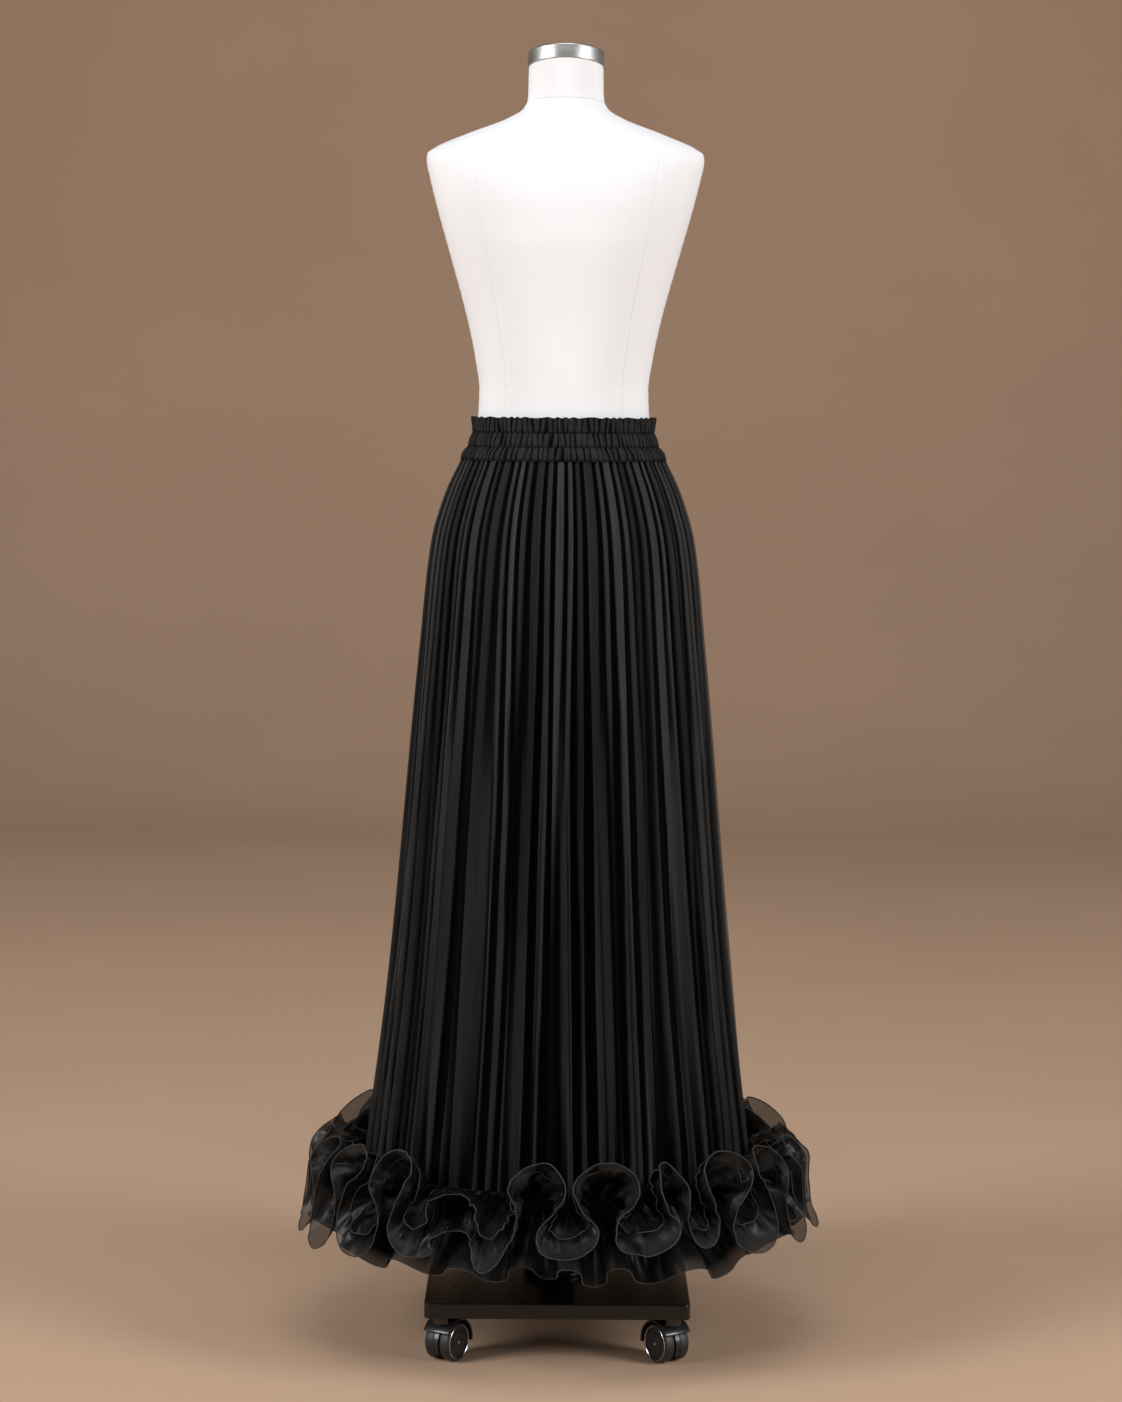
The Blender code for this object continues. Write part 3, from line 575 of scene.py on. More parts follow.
def cap_profile(parts=6):
    """From the cap's lower middle to its upper middle, with a round top edge."""
    profile = [(0.0, 0.0), (CAP_RADIUS - CAP_CHAMFER, 0.0), (CAP_RADIUS, CAP_CHAMFER)]
    for i in range(parts + 1):
        a = math.radians(90.0 * i / parts)
        profile.append((CAP_RADIUS - CAP_EDGE + CAP_EDGE * math.cos(a),
                        CAP_HEIGHT - CAP_EDGE + CAP_EDGE * math.sin(a)))
    return profile + [(0.0, CAP_HEIGHT)]


lean = Vector((0.0, NECK_SLOPE, 1.0)).normalized()
tilt = Vector((0, 0, 1)).rotation_difference(lean).to_matrix().to_4x4()
cap = turned("steel_neck_cap", cap_profile(), 96)
put(cap, Matrix.Translation(Vector((0.0, 0.0, NECK_TOP_Z)) + CAP_GAP * lean) @ tilt)
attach(cap, "body")
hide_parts("neck_cap")
print("cap sits from", round(min(v.co.z for v in cap.data.vertices), 4), "m up")

# %% Brushed steel
steel = material("brushed_steel", (0.56, 0.54, 0.51), 0.32, Metallic=1.0, Anisotropic=0.5)
brushing = stretched_noise(steel, "Object", (30.0, 30.0, 2200.0), 3.0)
patches = stretched_noise(steel, "Object", (24.0, 24.0, 60.0), 2.0)
varied(steel, brushing, 0.24, 0.42, "Roughness")
tinted(steel, patches, (0.47, 0.455, 0.43), (0.66, 0.64, 0.60))
bumped(steel, [(brushing, 0.30, 0.0003)])
dress(cap, steel)
print("steel nodes:", len(steel.node_tree.nodes))

# %% [markdown]
# ## The folds of the skirt
#
# The panels are gathered, not pleated: some seventy soft folds of uneven width and depth run
# from the waist to the hem. Each has a broad, nearly flat ridge and a steep, dark valley, and
# leans a little to one side, so that one of its edges is crisp. The folds drift apart or together
# on their way down, a few sink behind their neighbours, some split, and some join in one broad
# ridge with a fine crease. Places and depths are the solid model's own, so that both agree.
#
# Hand-made folds are uneven but not random. Sines whose paces do not fit into one another give
# each fold its own width, depth, breadth, painted lightness and lean, and the same ones at each
# run.

# %% Each fold's own numbers
SKIRT_FOLDS = 72
fold_number = np.arange(SKIRT_FOLDS)
fold_widths = 1.0 + 0.24 * np.sin(2.3 * fold_number) + 0.16 * np.sin(5.1 * fold_number + 1.0)
for half in (slice(0, SKIRT_FOLDS // 2), slice(SKIRT_FOLDS // 2, SKIRT_FOLDS)):
    fold_widths[half] *= math.pi / fold_widths[half].sum()
fold_starts = -math.pi / 2 + np.concatenate([[0.0], np.cumsum(fold_widths)])
ridge_sink = 0.13 * (1.0 + np.sin(3.7 * fold_number + 0.5))
valley_sink = 1.0 - 0.10 * (1.0 + np.sin(1.9 * fold_number + 2.0))
ridge_breadth = 0.45 + 0.15 * np.sin(2.9 * fold_number + 1.1)
# Painted light: how light each fold's ridge is painted in the shade value.
painted_ridge_light = 0.70 + 0.30 * np.sin(4.9 * fold_number + 0.4)
fold_lean = 0.17 * np.sin(4.3 * fold_number + 0.7)
split_place = 0.25 * np.sin(7.7 * fold_number)
print("folds are", np.round(np.degrees([fold_widths.min(), fold_widths.max()]), 1), "degrees wide")

# %% [markdown]
# A place on the cloth keeps its fold from the band to the hem. The function below finds the fold
# and how far across it the place is, from -1 at one valley to 1 at the next. It then works out
# how deep the place lies: the ridge is a plateau with a slight crown, the walls are soft steps,
# and a closed valley is one that its neighbours have pushed out. The folds start plain below the
# waist and are fully settled half a metre down.

# %% Folds as a function
WAIST_Z = 1.15
COLUMN_SPREAD = (
    # part of the fold, across
    (0.0, -1.0), (0.13, -0.84), (0.38, -0.42), (0.62, 0.42), (0.87, 0.84), (1.0, 1.0),
)
WALL_WIDTH = 0.30
CREASE_WIDTH = 0.13
CRISP_WIDTH = 0.09
DEEPEST_SINK = 1.12


def folded(turned, z):
    """For a place counted along the cloth, as an angle: the angle where it hangs, how deep it
    lies there, 0 on a ridge's top and 1 in a valley, and its painted shade: painted light on the
    ridge and its crisp edge, painted shade in the valley."""
    down = WAIST_Z - z
    start = (turned + math.pi / 2) % math.tau
    which = np.searchsorted(fold_starts[1:-1] + math.pi / 2, start, side="right")
    local = (start - fold_starts[which] - math.pi / 2) / fold_widths[which]
    across = np.interp(np.clip(local, 0.0, 1.0), *zip(*COLUMN_SPREAD))
    settled = ease(0.05, 0.45, down)

    # Depth: how broad the ridge is, how the walls fall, and what lifts a ridge or a valley.
    fading = np.sin(2.7 * which + 5.5 * down) * settled
    breadth = ridge_breadth[which] * (1.0 + 0.30 * fading - 0.22 * settled)
    wall = WALL_WIDTH - 0.10 * settled
    side = np.abs(across)
    valley = (which + (across > 0.0)) % SKIRT_FOLDS
    closed = ease(0.55, 0.98, np.sin(2.1 * valley + 0.9 + 1.3 * down)) * settled
    sink = ease(breadth, breadth + wall, side) * (1.0 - 0.80 * closed)
    crown = 0.10 * np.minimum(side / breadth, 1.0) ** 2
    split = np.exp(-(((across - split_place[which]) / CREASE_WIDTH) ** 2))
    split = split * ease(0.2, 0.9, np.sin(3.1 * which + 3.3 * down))
    behind = ease(0.35, 1.0, np.sin(1.7 * which + 2.2 + 2.4 * down))
    high = ridge_sink[which] + 0.45 * behind * settled
    deep = high + (valley_sink[which] - high) * sink
    deep = deep + (crown + 0.45 * split * settled) * (1.0 - sink)

    # Place: the folds drift, least at the side seams, and each ridge leans to its own side.
    loose = np.cos(turned) ** 2
    drift = (
        0.020 * np.sin(9.0 * turned + 2.6 * down + 0.4) * ease(0.0, 0.5, down)
        + 0.012 * np.sin(21.0 * turned - 1.9 * down + 1.0) * settled
    )
    swaying = 0.6 + 0.4 * np.sin(which + 4.0 * down)
    pushed = fold_lean[which] * fold_widths[which] * (1.0 - sink) * swaying
    middle = fold_starts[which] + fold_widths[which] * 0.5 * (1.0 + across)

    # Painted light and shade: a painted highlight on the crisp edge and the ridge, painted shade in
    # the valley and where a fold sinks behind, slowly changing downwards.
    crisp = across * np.sign(fold_lean[which]) - breadth - 0.02
    crisp = np.exp(-((crisp / CRISP_WIDTH) ** 2))
    slow = 1.0 - (0.30 - 0.22 * np.sin(1.1 * which + 6.0 * down + 3.0 * turned)) * settled
    lit = (1.0 - 0.96 * ease(0.0, 0.70, sink)) * (1.0 - 0.80 * ease(0.12, 0.75, deep))
    lit = lit + settled * (0.93 * ease(0.14, 0.70, lit) - lit)
    shade = (0.60 + 0.40 * crisp) * lit * painted_ridge_light[which] * slow
    return middle - loose * drift + pushed * settled, np.clip(deep, 0.0, DEEPEST_SINK), shade


across_first_fold = folded(np.linspace(-1.57, -1.48, 5), 0.7)[1]
print("sink across the first fold at mid-height:", np.round(across_first_fold, 2))

# %% [markdown]
# ## The chiffon layer
#
# One grid for the back panel and one for the front meet at the side seams, as the cut pieces do.
# Each fold has twenty columns, close together on its steep sides, and the columns travel with
# the fold, so that its edges stay clean from the band to the hem. The table also says how deep
# the folds are at each height, and how far in the lining hangs. A row of stitches makes small
# gathers of its own, which fade a hand away: there is one at the band and one at the hem, where
# the ruffle is sewn on.

# %% The skirt's sections
HEM_Z = 0.241
SKIRT_TOP_Z = 1.1517
SKIRT_SECTIONS = (
    # z,    half_width, front,  back,   fold,   lining
    (0.2410, 0.2570, 0.2450, 0.2450, 0.0125, 0.0185),
    (0.4800, 0.2270, 0.2110, 0.2145, 0.0098, 0.0152),
    (0.9100, 0.1868, 0.1510, 0.1570, 0.0068, 0.0106),
    (1.0500, 0.1710, 0.1350, 0.1410, 0.0050, 0.0088),
    (1.1050, 0.1550, 0.1235, 0.1265, 0.0034, 0.0070),
    (1.1517, 0.1340, 0.1085, 0.1050, 0.0020, 0.0048),
)
FOLD_DEEPER = 1.28
FOLD_AT_BAND = 0.0022
BAND_GATHER_DEPTH = 0.0012
HEM_GATHER_DEPTH = 0.0030
GATHERS_HALF_ROUND = 48.0


def gather_sink(turned, z):
    """The small gathers that a stitched row makes, 0 at their ridges and 1 at their deepest."""
    uneven = turned + 0.008 * np.sin(37.0 * turned) + 0.004 * np.sin(91.0 * turned + 40.0 * z)
    gathers = np.abs(np.sin(GATHERS_HALF_ROUND * uneven)) ** 0.7
    return gathers * (0.75 + 0.25 * np.sin(29.0 * turned + 9.0 * z))


def on_chiffon(turned, z):
    """Points and painted shade of the chiffon: the body's section, sunk by its folds and gathers.
    """
    half_width, front, back, fold, _ = through(SKIRT_SECTIONS, z).T
    top = ease(1.125, 1.151, z)
    low = ease(0.30, 0.243, z)
    angle, sink, shade = folded(turned, z)
    gathers = gather_sink(turned, z)
    fold = FOLD_DEEPER * fold + FOLD_AT_BAND * ease(1.00, 1.12, z)
    depth = fold * sink * (1.0 - 0.35 * top) + BAND_GATHER_DEPTH * gathers * top
    depth = depth + HEM_GATHER_DEPTH * (gathers - 0.4) * low
    x, y = egg(angle, half_width, front, back)
    length = np.hypot(x, y)
    return x - depth * x / length, y - depth * y / length, z, shade


print("skirt from", HEM_Z, "to", SKIRT_TOP_Z, "m")

# %% Hang the chiffon
chiffon_panels = []
for side, first_angle in HALVES:
    place = half_round(on_chiffon, first_angle, HEM_Z, SKIRT_TOP_Z)
    panel = hang("chiffon_" + side, 720, 112, place, (1.30, 0.93))
    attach(panel, "body")
    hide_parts("skirt_" + side)
    chiffon_panels.append(panel)
    print(panel.name, "area", round(cloth_area(panel), 3), "square metres")

# %% [markdown]
# Chiffon is a thin plain weave of twisted thread: dull, slightly crinkled, and half sheer, so
# that the light paper shows faintly through the folds at the sides. The shader lets nearly half
# the light straight through, a stretched noise gives the crinkle along the folds, and a weave on
# the UV map gives the threads. Hardly any gloss is left, or the valleys would turn grey. Its base
# colour is painted light and shade: near black in the valleys and grey on the ridges and their
# crisp edges, as the shade value says.

# %% Black chiffon
chiffon = material("black_chiffon", (0.02, 0.02, 0.02), 0.60, Sheen_Weight=0.03,
                   Sheen_Roughness=0.35, Sheen_Tint=(0.30, 0.295, 0.29, 1.0),
                   Specular_IOR_Level=0.03, Alpha=0.55)
threads = weave_on_uv(chiffon, 1800.0)
streaks = stretched_noise(chiffon, "UV", (300.0, 9.0, 1.0), 4.0)
# Painted shade and light: the near black valley colour and the grey ridge colour, mixed by the
# shade value.
paint_light_and_shade(chiffon, streaks, (0.0004, 0.0004, 0.0004), (0.112, 0.1125, 0.113), 0.25)
bumped(chiffon, [(streaks, 0.30, 0.0010), (threads, 0.18, 0.0002)])
for panel in chiffon_panels:
    dress(panel, chiffon)
print("chiffon nodes:", len(chiffon.node_tree.nodes))

# %% [markdown]
# ## The lining
#
# A plain opaque slip hangs inside the chiffon, half a centimetre in at the band and two at the
# hem, and ends just behind the ruffle's seam. It is what turns the skirt black in the middle,
# while the chiffon alone stays sheer at the edges. It is cut with little fullness, so it only has
# a few shallow waves.

# %% Hang the lining
LINING_HEM_Z = 0.228
LINING_WAVE = 0.0016


def on_lining(angle, z):
    """Points of the lining, inside the chiffon by the table's margin."""
    half_width, front, back, _, margin = through(SKIRT_SECTIONS, z).T
    wave = LINING_WAVE * np.sin(14.0 * angle + 1.5 * np.sin(3.0 * angle)) * ease(1.10, 0.50, z)
    x, y = egg(angle, half_width - margin + wave, front - margin + wave, back - margin + wave)
    return x, y, z


lining = material("black_lining", (0.0012, 0.0012, 0.0012), 0.6, Specular_IOR_Level=0.03)
lining_threads = weave_on_uv(lining, 1500.0)
varied(lining, lining_threads, 0.42, 0.58, "Roughness")
bumped(lining, [(lining_threads, 0.2, 0.0002)])
for side, first_angle in HALVES:
    place = half_round(on_lining, first_angle, LINING_HEM_Z, SKIRT_TOP_Z)
    panel = hang("lining_panel_" + side, 96, 36, place, (0.60, 0.90))
    dress(panel, lining)
    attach(panel, "body")
    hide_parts("lining_" + side)
    print(panel.name, "area", round(cloth_area(panel), 3), "square metres")

# %% [markdown]
# ## The shirred band
#
# The band is one strip of the same chiffon, doubled, with three rows of elastic stitched through
# it. The rows pull it in, the cloth between them puffs out in a hundred fine gathers that slant
# this way and that, and above the top row it stands up as a small frill. The sheet runs up the
# outside, over the frill's edge and a little way down the inside.

# %% The band's sections and gathers
BAND_ROWS = (
    # z,    half_width, front,  back,   gather
    (1.1520, 0.1345, 0.1110, 0.1065, 0.0014),
    (1.1615, 0.1312, 0.1105, 0.1055, 0.0026),
    (1.1700, 0.1246, 0.1062, 0.1008, 0.0016),
    (1.1790, 0.1222, 0.1048, 0.0993, 0.0026),
    (1.1880, 0.1186, 0.1016, 0.0962, 0.0015),
    (1.2080, 0.1192, 0.1026, 0.0966, 0.0030),
)
BAND_STITCH_ROWS = (1.1530, 1.1700, 1.1880)
STITCH_REACH = 0.0013
STITCH_DEPTH = 0.0009
BAND_FOOT_Z = 1.1520
BAND_FRILL_Z = 1.2080
BAND_FOLD_OVER = 0.88
BAND_TURNED_DOWN = 0.016
BAND_WALL = 0.0022


def on_band(u, v):
    """Points and painted shade of the band: up the outside, over the frill's edge and down inside.
    """
    angle = math.tau * u - math.pi / 2
    rising = np.clip(v / BAND_FOLD_OVER, 0.0, 1.0)
    inside = np.clip((v - BAND_FOLD_OVER) / (1.0 - BAND_FOLD_OVER), 0.0, 1.0)
    z = BAND_FOOT_Z + (BAND_FRILL_Z - BAND_FOOT_Z) * rising - BAND_TURNED_DOWN * inside
    half_width, front, back, gather = through(BAND_ROWS, z).T
    frill = ease(1.190, 1.206, z)
    strip = np.searchsorted(BAND_STITCH_ROWS, z)
    shift = 0.010 * np.sin(19.0 * angle + 90.0 * z)
    shift += 0.007 * np.sin(43.0 * angle - 70.0 * z + 2.1 * strip)
    shift += 0.012 * np.sin(11.0 * angle + 2.3 * strip)
    small = np.abs(np.sin(GATHERS_HALF_ROUND * (angle + shift))) ** 0.8
    finer = 0.5 + 0.5 * np.sin(203.0 * (angle + 0.7 * shift) + 2.0 * np.sin(13.0 * angle + strip))
    uneven = 0.72 + 0.28 * np.sin(17.0 * angle + 110.0 * z) * np.sin(7.0 * angle + 1.0 + strip)
    sink = (0.72 * (1.0 - small) + 0.28 * finer) * uneven
    pinch = sum(np.exp(-(((z - row) / STITCH_REACH) ** 2)) for row in BAND_STITCH_ROWS)
    flutter = 0.0014 * frill * np.sin(24.0 * angle + 2.0 * np.sin(5.0 * angle))
    depth = gather * sink * (1.0 - 0.3 * pinch) + STITCH_DEPTH * pinch
    depth = depth - flutter + BAND_WALL * inside
    x, y = egg(angle, half_width - depth, front - depth, back - depth)
    ragged = 0.0008 * frill * np.sin(GATHERS_HALF_ROUND * angle + 3.0 * np.sin(11.0 * angle))
    ragged = ragged * (1.0 - inside)
    # Painted shade: darker in the gathers' hollows, at the stitch rows and on the inside of the
    # frill; painted light on the gathers' tops.
    shade = 0.24 * (1.0 - ease(0.0, 0.60, sink)) * (1.0 - 0.75 * pinch) * (1.0 - 0.9 * inside)
    return x, y, z + ragged, shade


print("stitch rows at", BAND_STITCH_ROWS, "m")

# %% Shirr the band
band = hang("shirred_band", 1152, 44, on_band, (1.70, 0.075))
band_cloth = chiffon.copy()
band_cloth.name = "black_chiffon_doubled"
shader_of(band_cloth).inputs["Alpha"].default_value = 1.0
dress(band, band_cloth)
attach(band, "body")
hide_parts("waistband")
print("band area", round(cloth_area(band), 4), "square metres")

# %% [markdown]
# ## The ruffle
#
# Crisp organza, gathered on to the hem, stands out in loops like ribbon candy. Seen from
# outside, its edge swings to and fro: it climbs over a loop, turns back under itself, hangs down
# in a lobe and turns back again. Such a line is drawn by a direction that swings like a pendulum
# through more than a right angle. Near the hem the same cloth still runs plainly round the
# skirt, and the loops open towards the edge.
#
# Each row of the table is one wave: how wide it is, how far its loop climbs and its lobe drops,
# how far the direction swings, and by how much the wave leans, slants and stands further out. In
# the ninth and tenth waves the cloth swings less and lies broad and flat, and its outer layer
# flops forward there.

# %% The ruffle's waves
RUFFLE_WAVES = (
    # degrees, lift,  drop,  swing, lean, slant, further
    (21.0, 0.050, 0.062, 117.0, 6.0, 1.5, 0.004),
    (18.0, 0.056, 0.070, 117.0, -6.0, -1.5, -0.006),
    (23.0, 0.044, 0.058, 116.0, 5.0, 1.0, 0.006),
    (17.0, 0.058, 0.080, 118.0, -4.0, -1.0, -0.004),
    (15.0, 0.042, 0.092, 118.0, 8.0, 1.5, -0.004),
    (15.0, 0.044, 0.090, 118.0, -6.0, -1.0, -0.004),
    (14.0, 0.046, 0.092, 117.0, 5.0, 1.0, -0.004),
    (15.7, 0.050, 0.082, 118.0, -8.0, -1.5, -0.004),
    (17.0, 0.058, 0.046, 108.0, 0.0, 1.0, -0.004),
    (20.0, 0.006, 0.036, 74.0, -4.0, 0.0, 0.006),
    (15.0, 0.060, 0.052, 117.0, 2.0, 1.0, 0.000),
    (18.0, 0.060, 0.052, 117.0, 7.0, 2.0, 0.002),
    (12.0, 0.052, 0.050, 106.0, -3.0, -0.6, -0.008),
    (18.0, 0.060, 0.068, 118.0, -6.0, 1.0, 0.002),
    (18.0, 0.050, 0.084, 114.0, 0.0, 0.0, -0.004),
    (17.3, 0.044, 0.088, 116.0, -5.0, 0.6, -0.004),
    (22.0, 0.040, 0.082, 116.0, 8.0, 1.5, -0.004),
    (18.0, 0.056, 0.076, 118.0, -6.0, -1.5, -0.010),
    (24.0, 0.050, 0.058, 116.0, 4.0, 1.2, 0.006),
    (22.0, 0.055, 0.068, 117.0, -7.0, -1.5, -0.004),
)
RUFFLE_START = math.radians(-184.5)

wave_table = np.array(RUFFLE_WAVES)
wave_widths = wave_table[:, 0] * math.tau / wave_table[:, 0].sum()
wave_starts = RUFFLE_START + np.concatenate([[0.0], np.cumsum(wave_widths)[:-1]])
crests = np.round(np.degrees(wave_starts + wave_widths / 4)).astype(int)
print("ruffle waves:", len(RUFFLE_WAVES), "crests at", crests)

# %% The line of the edge
RUFFLE_REACH = 0.082
RUFFLE_LOOP_REACH = 0.052
RUFFLE_LOBE_REACH = 0.100
FLOP_DROP = 0.040
FLOP_DEGREES = (-36.0, -30.0, -16.0, -8.0)


def pendulum(swing, lean, samples=480):
    """Progress and height along one wave whose direction swings by the angle swing."""
    travel = (np.arange(samples) + 0.5) / samples
    heading = math.radians(swing) * np.cos(math.tau * travel)
    heading += math.radians(lean) * np.cos(2 * math.tau * travel)
    along = np.concatenate([[0.0], np.cumsum(np.cos(heading))])
    height = np.concatenate([[0.0], np.cumsum(np.sin(heading))])
    height -= height[-1] * np.linspace(0.0, 1.0, samples + 1)
    height = np.where(height > 0.0, height / height.max(), -height / height.min())
    return along / along[-1], height


pendulums = [pendulum(swing, lean) for swing, lean in wave_table[:, 3:5]]


def along_ruffle(turn):
    """For turn from 0 to 1 round the ruffle: the angle at the hem and at the edge, the edge's
    height and reach, and how much the cloth flops forward there, from 0 to 1."""
    place = np.clip(turn, 0.0, 1.0 - 1e-9) * len(RUFFLE_WAVES)
    which = place.astype(int)
    part = place - which
    progress, rise = np.empty_like(part), np.empty_like(part)
    for i, (swept, risen) in enumerate(pendulums):
        here = which == i
        samples = np.linspace(0.0, 1.0, len(swept))
        progress[here] = np.interp(part[here], samples, swept)
        rise[here] = np.interp(part[here], samples, risen)
    _, lift, drop, _, _, slant, further = wave_table[which].T
    plain = wave_starts[which] + wave_widths[which] * part
    curled = wave_starts[which] + wave_widths[which] * progress + np.radians(slant) * rise
    height = np.where(rise > 0.0, rise * lift, rise * drop)
    tip = np.where(rise > 0.0, RUFFLE_LOOP_REACH, RUFFLE_LOBE_REACH)
    edge = RUFFLE_REACH + (tip - RUFFLE_REACH) * rise**2 + further * np.abs(rise)
    flopped = np.interp(np.degrees(plain), FLOP_DEGREES, (0.0, 1.0, 1.0, 0.0))
    return plain, curled, height, edge, flopped


print("pendulums:", len(pendulums))

# %% [markdown]
# Between the hem and its edge the ruffle is drawn out smoothly. On that smooth cloth lie gathers,
# which are sharpest near the seam, and the lumps and creases of a stiff, crumpled cloth, which
# are noise on the flat cloth and so turn with it. Both move the cloth along its own normal, and
# both get painted light where they stand up. The open cloth towards the edge is painted lighter,
# and the cloth near the seam gets painted shade.

# %% From the hem to the edge
HEM_HALF_WIDTH = 0.2570
HEM_DEPTH = 0.2450
HEM_BASE = 0.5 * 0.0125 + 0.0006
SEAM_GAP = 0.0003
RUFFLE_TURN = 0.12
RUFFLE_FALL = 0.005


def ruffle_cloth(turn, depth, layer):
    """Smooth points of one layer of the ruffle: turn round the hem, and depth from 0 at the hem
    to 1 at the edge. Layer 0 is the outer one, which flops forward; 1 is the inner one."""
    plain, curled, height, edge, flopped = along_ruffle(turn % 1.0)
    height = height - (1 - layer) * FLOP_DROP * flopped
    bend = np.clip((depth - RUFFLE_TURN) / (1.0 - RUFFLE_TURN), 0.0, 1.0)
    angle = plain + bend * (curled - plain)
    z = HEM_Z - SEAM_GAP - RUFFLE_FALL * ease(0.0, RUFFLE_TURN, depth) + height * bend**1.15
    out = depth * edge - HEM_BASE
    x, y = egg(angle, HEM_HALF_WIDTH + out, HEM_DEPTH + out, HEM_DEPTH + out)
    return np.stack([x, y, z], axis=1)


def crumple(points, size, seed):
    """Smooth noise from about -1 to 1, with lumps as big as size, in metres."""
    lumps = points / size + seed
    return np.array([noise.noise(lump) for lump in lumps.tolist()])


print("ruffle reaches", RUFFLE_LOBE_REACH, "m at its lobes")

# %% Gathers and crumples
RUFFLE_GATHERS = 84.0
GATHER_HEIGHT = 0.0042
LUMP_SIZE = 0.034
LUMP_HEIGHT = 0.0085
CREASE_SIZE = 0.019
CREASE_HEIGHT = 0.0028
LAYER_GAP = 0.0065
RING_RADIUS = 1.22
TURN_STEP = 2e-4
DEPTH_STEP = 0.01
DARKEST_SHADE = 0.04


def on_ruffle(turn, depth, layer):
    """Points and painted shade of one layer of the ruffle, with its gathers and crumples."""
    cloth = ruffle_cloth(turn, depth, layer)
    across = ruffle_cloth(turn + TURN_STEP, depth, layer)
    across = across - ruffle_cloth(turn - TURN_STEP, depth, layer)
    outward = ruffle_cloth(turn, np.minimum(depth + DEPTH_STEP, 1.0), layer)
    outward = outward - ruffle_cloth(turn, np.maximum(depth - DEPTH_STEP, 0.0), layer)
    normal = np.cross(across, outward)
    normal /= np.linalg.norm(normal, axis=1)[:, None] + 1e-12
    ring = math.tau * turn
    flat = np.stack(
        [RING_RADIUS * np.cos(ring), RING_RADIUS * np.sin(ring), 0.1 * depth], axis=1
    )
    wander = 0.7 * np.sin(23.0 * ring) + 0.5 * np.sin(41.0 * ring + 1.0)
    wander = wander + 1.6 * depth * np.sin(13.0 * ring + layer)
    gathers = 1.0 - 2.0 * np.abs(np.sin(RUFFLE_GATHERS * ring + 1.3 * wander)) ** 0.8
    pinched = ease(0.0, 0.12, depth) * (1.0 - ease(0.30, 0.92, depth))
    held = ease(0.04, 0.25, depth) * (1.0 - 0.45 * ease(0.80, 1.0, depth))
    lumps = crumple(flat, LUMP_SIZE, 3.0 + 9.0 * layer)
    creases = crumple(flat * (1.0, 1.0, 0.7), CREASE_SIZE, 17.0 + 5.0 * layer)
    creases = 1.0 - 2.2 * np.abs(creases)
    raised = GATHER_HEIGHT * gathers * pinched
    raised = raised + (LUMP_HEIGHT * lumps + CREASE_HEIGHT * creases) * held
    raised = raised - layer * LAYER_GAP * ease(0.04, 0.35, depth)
    x, y, z = (cloth + normal * raised[:, None]).T
    # Painted light on the gathers near the seam, on the lumps and creases and on the open cloth
    # towards the edge; painted shade near the seam.
    painted_gather_light = gathers * ease(0.0, 0.12, depth) * (1.0 - 0.8 * ease(0.45, 1.0, depth))
    shade = DARKEST_SHADE + 0.30 * ease(0.25, 0.9, depth) + 0.30 * painted_gather_light
    shade = shade + 0.70 * lumps + 0.22 * creases
    return x, y, z, np.clip(shade, DARKEST_SHADE, 1.0)


print("gathers in the ruffle:", int(2 * RUFFLE_GATHERS))

# %% Hang the ruffle's two lengths
wave_edges = np.append(wave_starts, wave_starts[0] + math.tau)
wave_turns = np.linspace(0.0, 1.0, len(wave_edges))
left_seam, right_seam = np.interp([-math.pi / 2, math.pi / 2], wave_edges, wave_turns)
RUFFLE_SPLITS = {"back": (left_seam, right_seam), "front": (right_seam, 1.0 + left_seam)}


def whole(turn):
    """How deep the outer layer is along its edge, which is never cut quite even."""
    return 0.975 + 0.025 * np.sin(math.tau * 33.0 * turn + 2.0 * np.sin(math.tau * 7.0 * turn))


def ruffle_length(first, last, deepest, layer):
    """A place(u, v) for a length of ruffle between two turns, with its edge at v = 0."""
    def place(u, v):
        turn = first + (last - first) * u
        return on_ruffle(turn, deepest(turn) * (1.0 - v), layer)
    return place


ruffle_pieces = []
for side, (first, last) in RUFFLE_SPLITS.items():
    place = ruffle_length(first, last, whole, 0)
    length = hang("ruffle_" + side + "_organza", 900, 44, place, (2.2, 0.100))
    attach(length, "body")
    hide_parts("ruffle_" + side)
    ruffle_pieces.append(length)
    print(length.name, "area", round(cloth_area(length), 3), "square metres")

# %% [markdown]
# Organza is woven like chiffon but from stiff, hard-twisted thread, so it shines softly and shows
# every crumple as a light patch. One layer lets about a fifth of the light through. Its gloss is
# left moderate. Its base colour is painted light and shade: the shade value paints the crumples
# and the open cloth near the edge lighter, and the cloth near the seam dark.

# %% Black organza
def black_organza(name, alpha, gloss, ridge):
    """Organza that lets 1 - alpha of the light through, with light and shade painted into its
    colour:
    as grey as ridge where the painted light is strongest.
    """
    made = material(name, (0.03, 0.03, 0.03), 0.34, Sheen_Weight=0.08, Sheen_Roughness=0.30,
                    Sheen_Tint=(0.40, 0.395, 0.39, 1.0), Specular_IOR_Level=gloss, Alpha=alpha)
    warp = weave_on_uv(made, 1400.0)
    clouds = stretched_noise(made, "UV", (26.0, 40.0, 1.0), 3.0)
    # Painted light and shade: near black where the shade value is low, grey as ridge where it is
    # high.
    paint_light_and_shade(made, clouds, (0.0005, 0.0005, 0.0005), (ridge, ridge, ridge), 0.30)
    varied(made, clouds, 0.30, 0.44, "Roughness")
    bumped(made, [(clouds, 0.30, 0.0020), (warp, 0.20, 0.0002)])
    return made


organza = black_organza("black_organza", 0.78, 0.24, 0.030)
for length in ruffle_pieces:
    dress(length, organza)
print("organza nodes:", len(organza.node_tree.nodes))

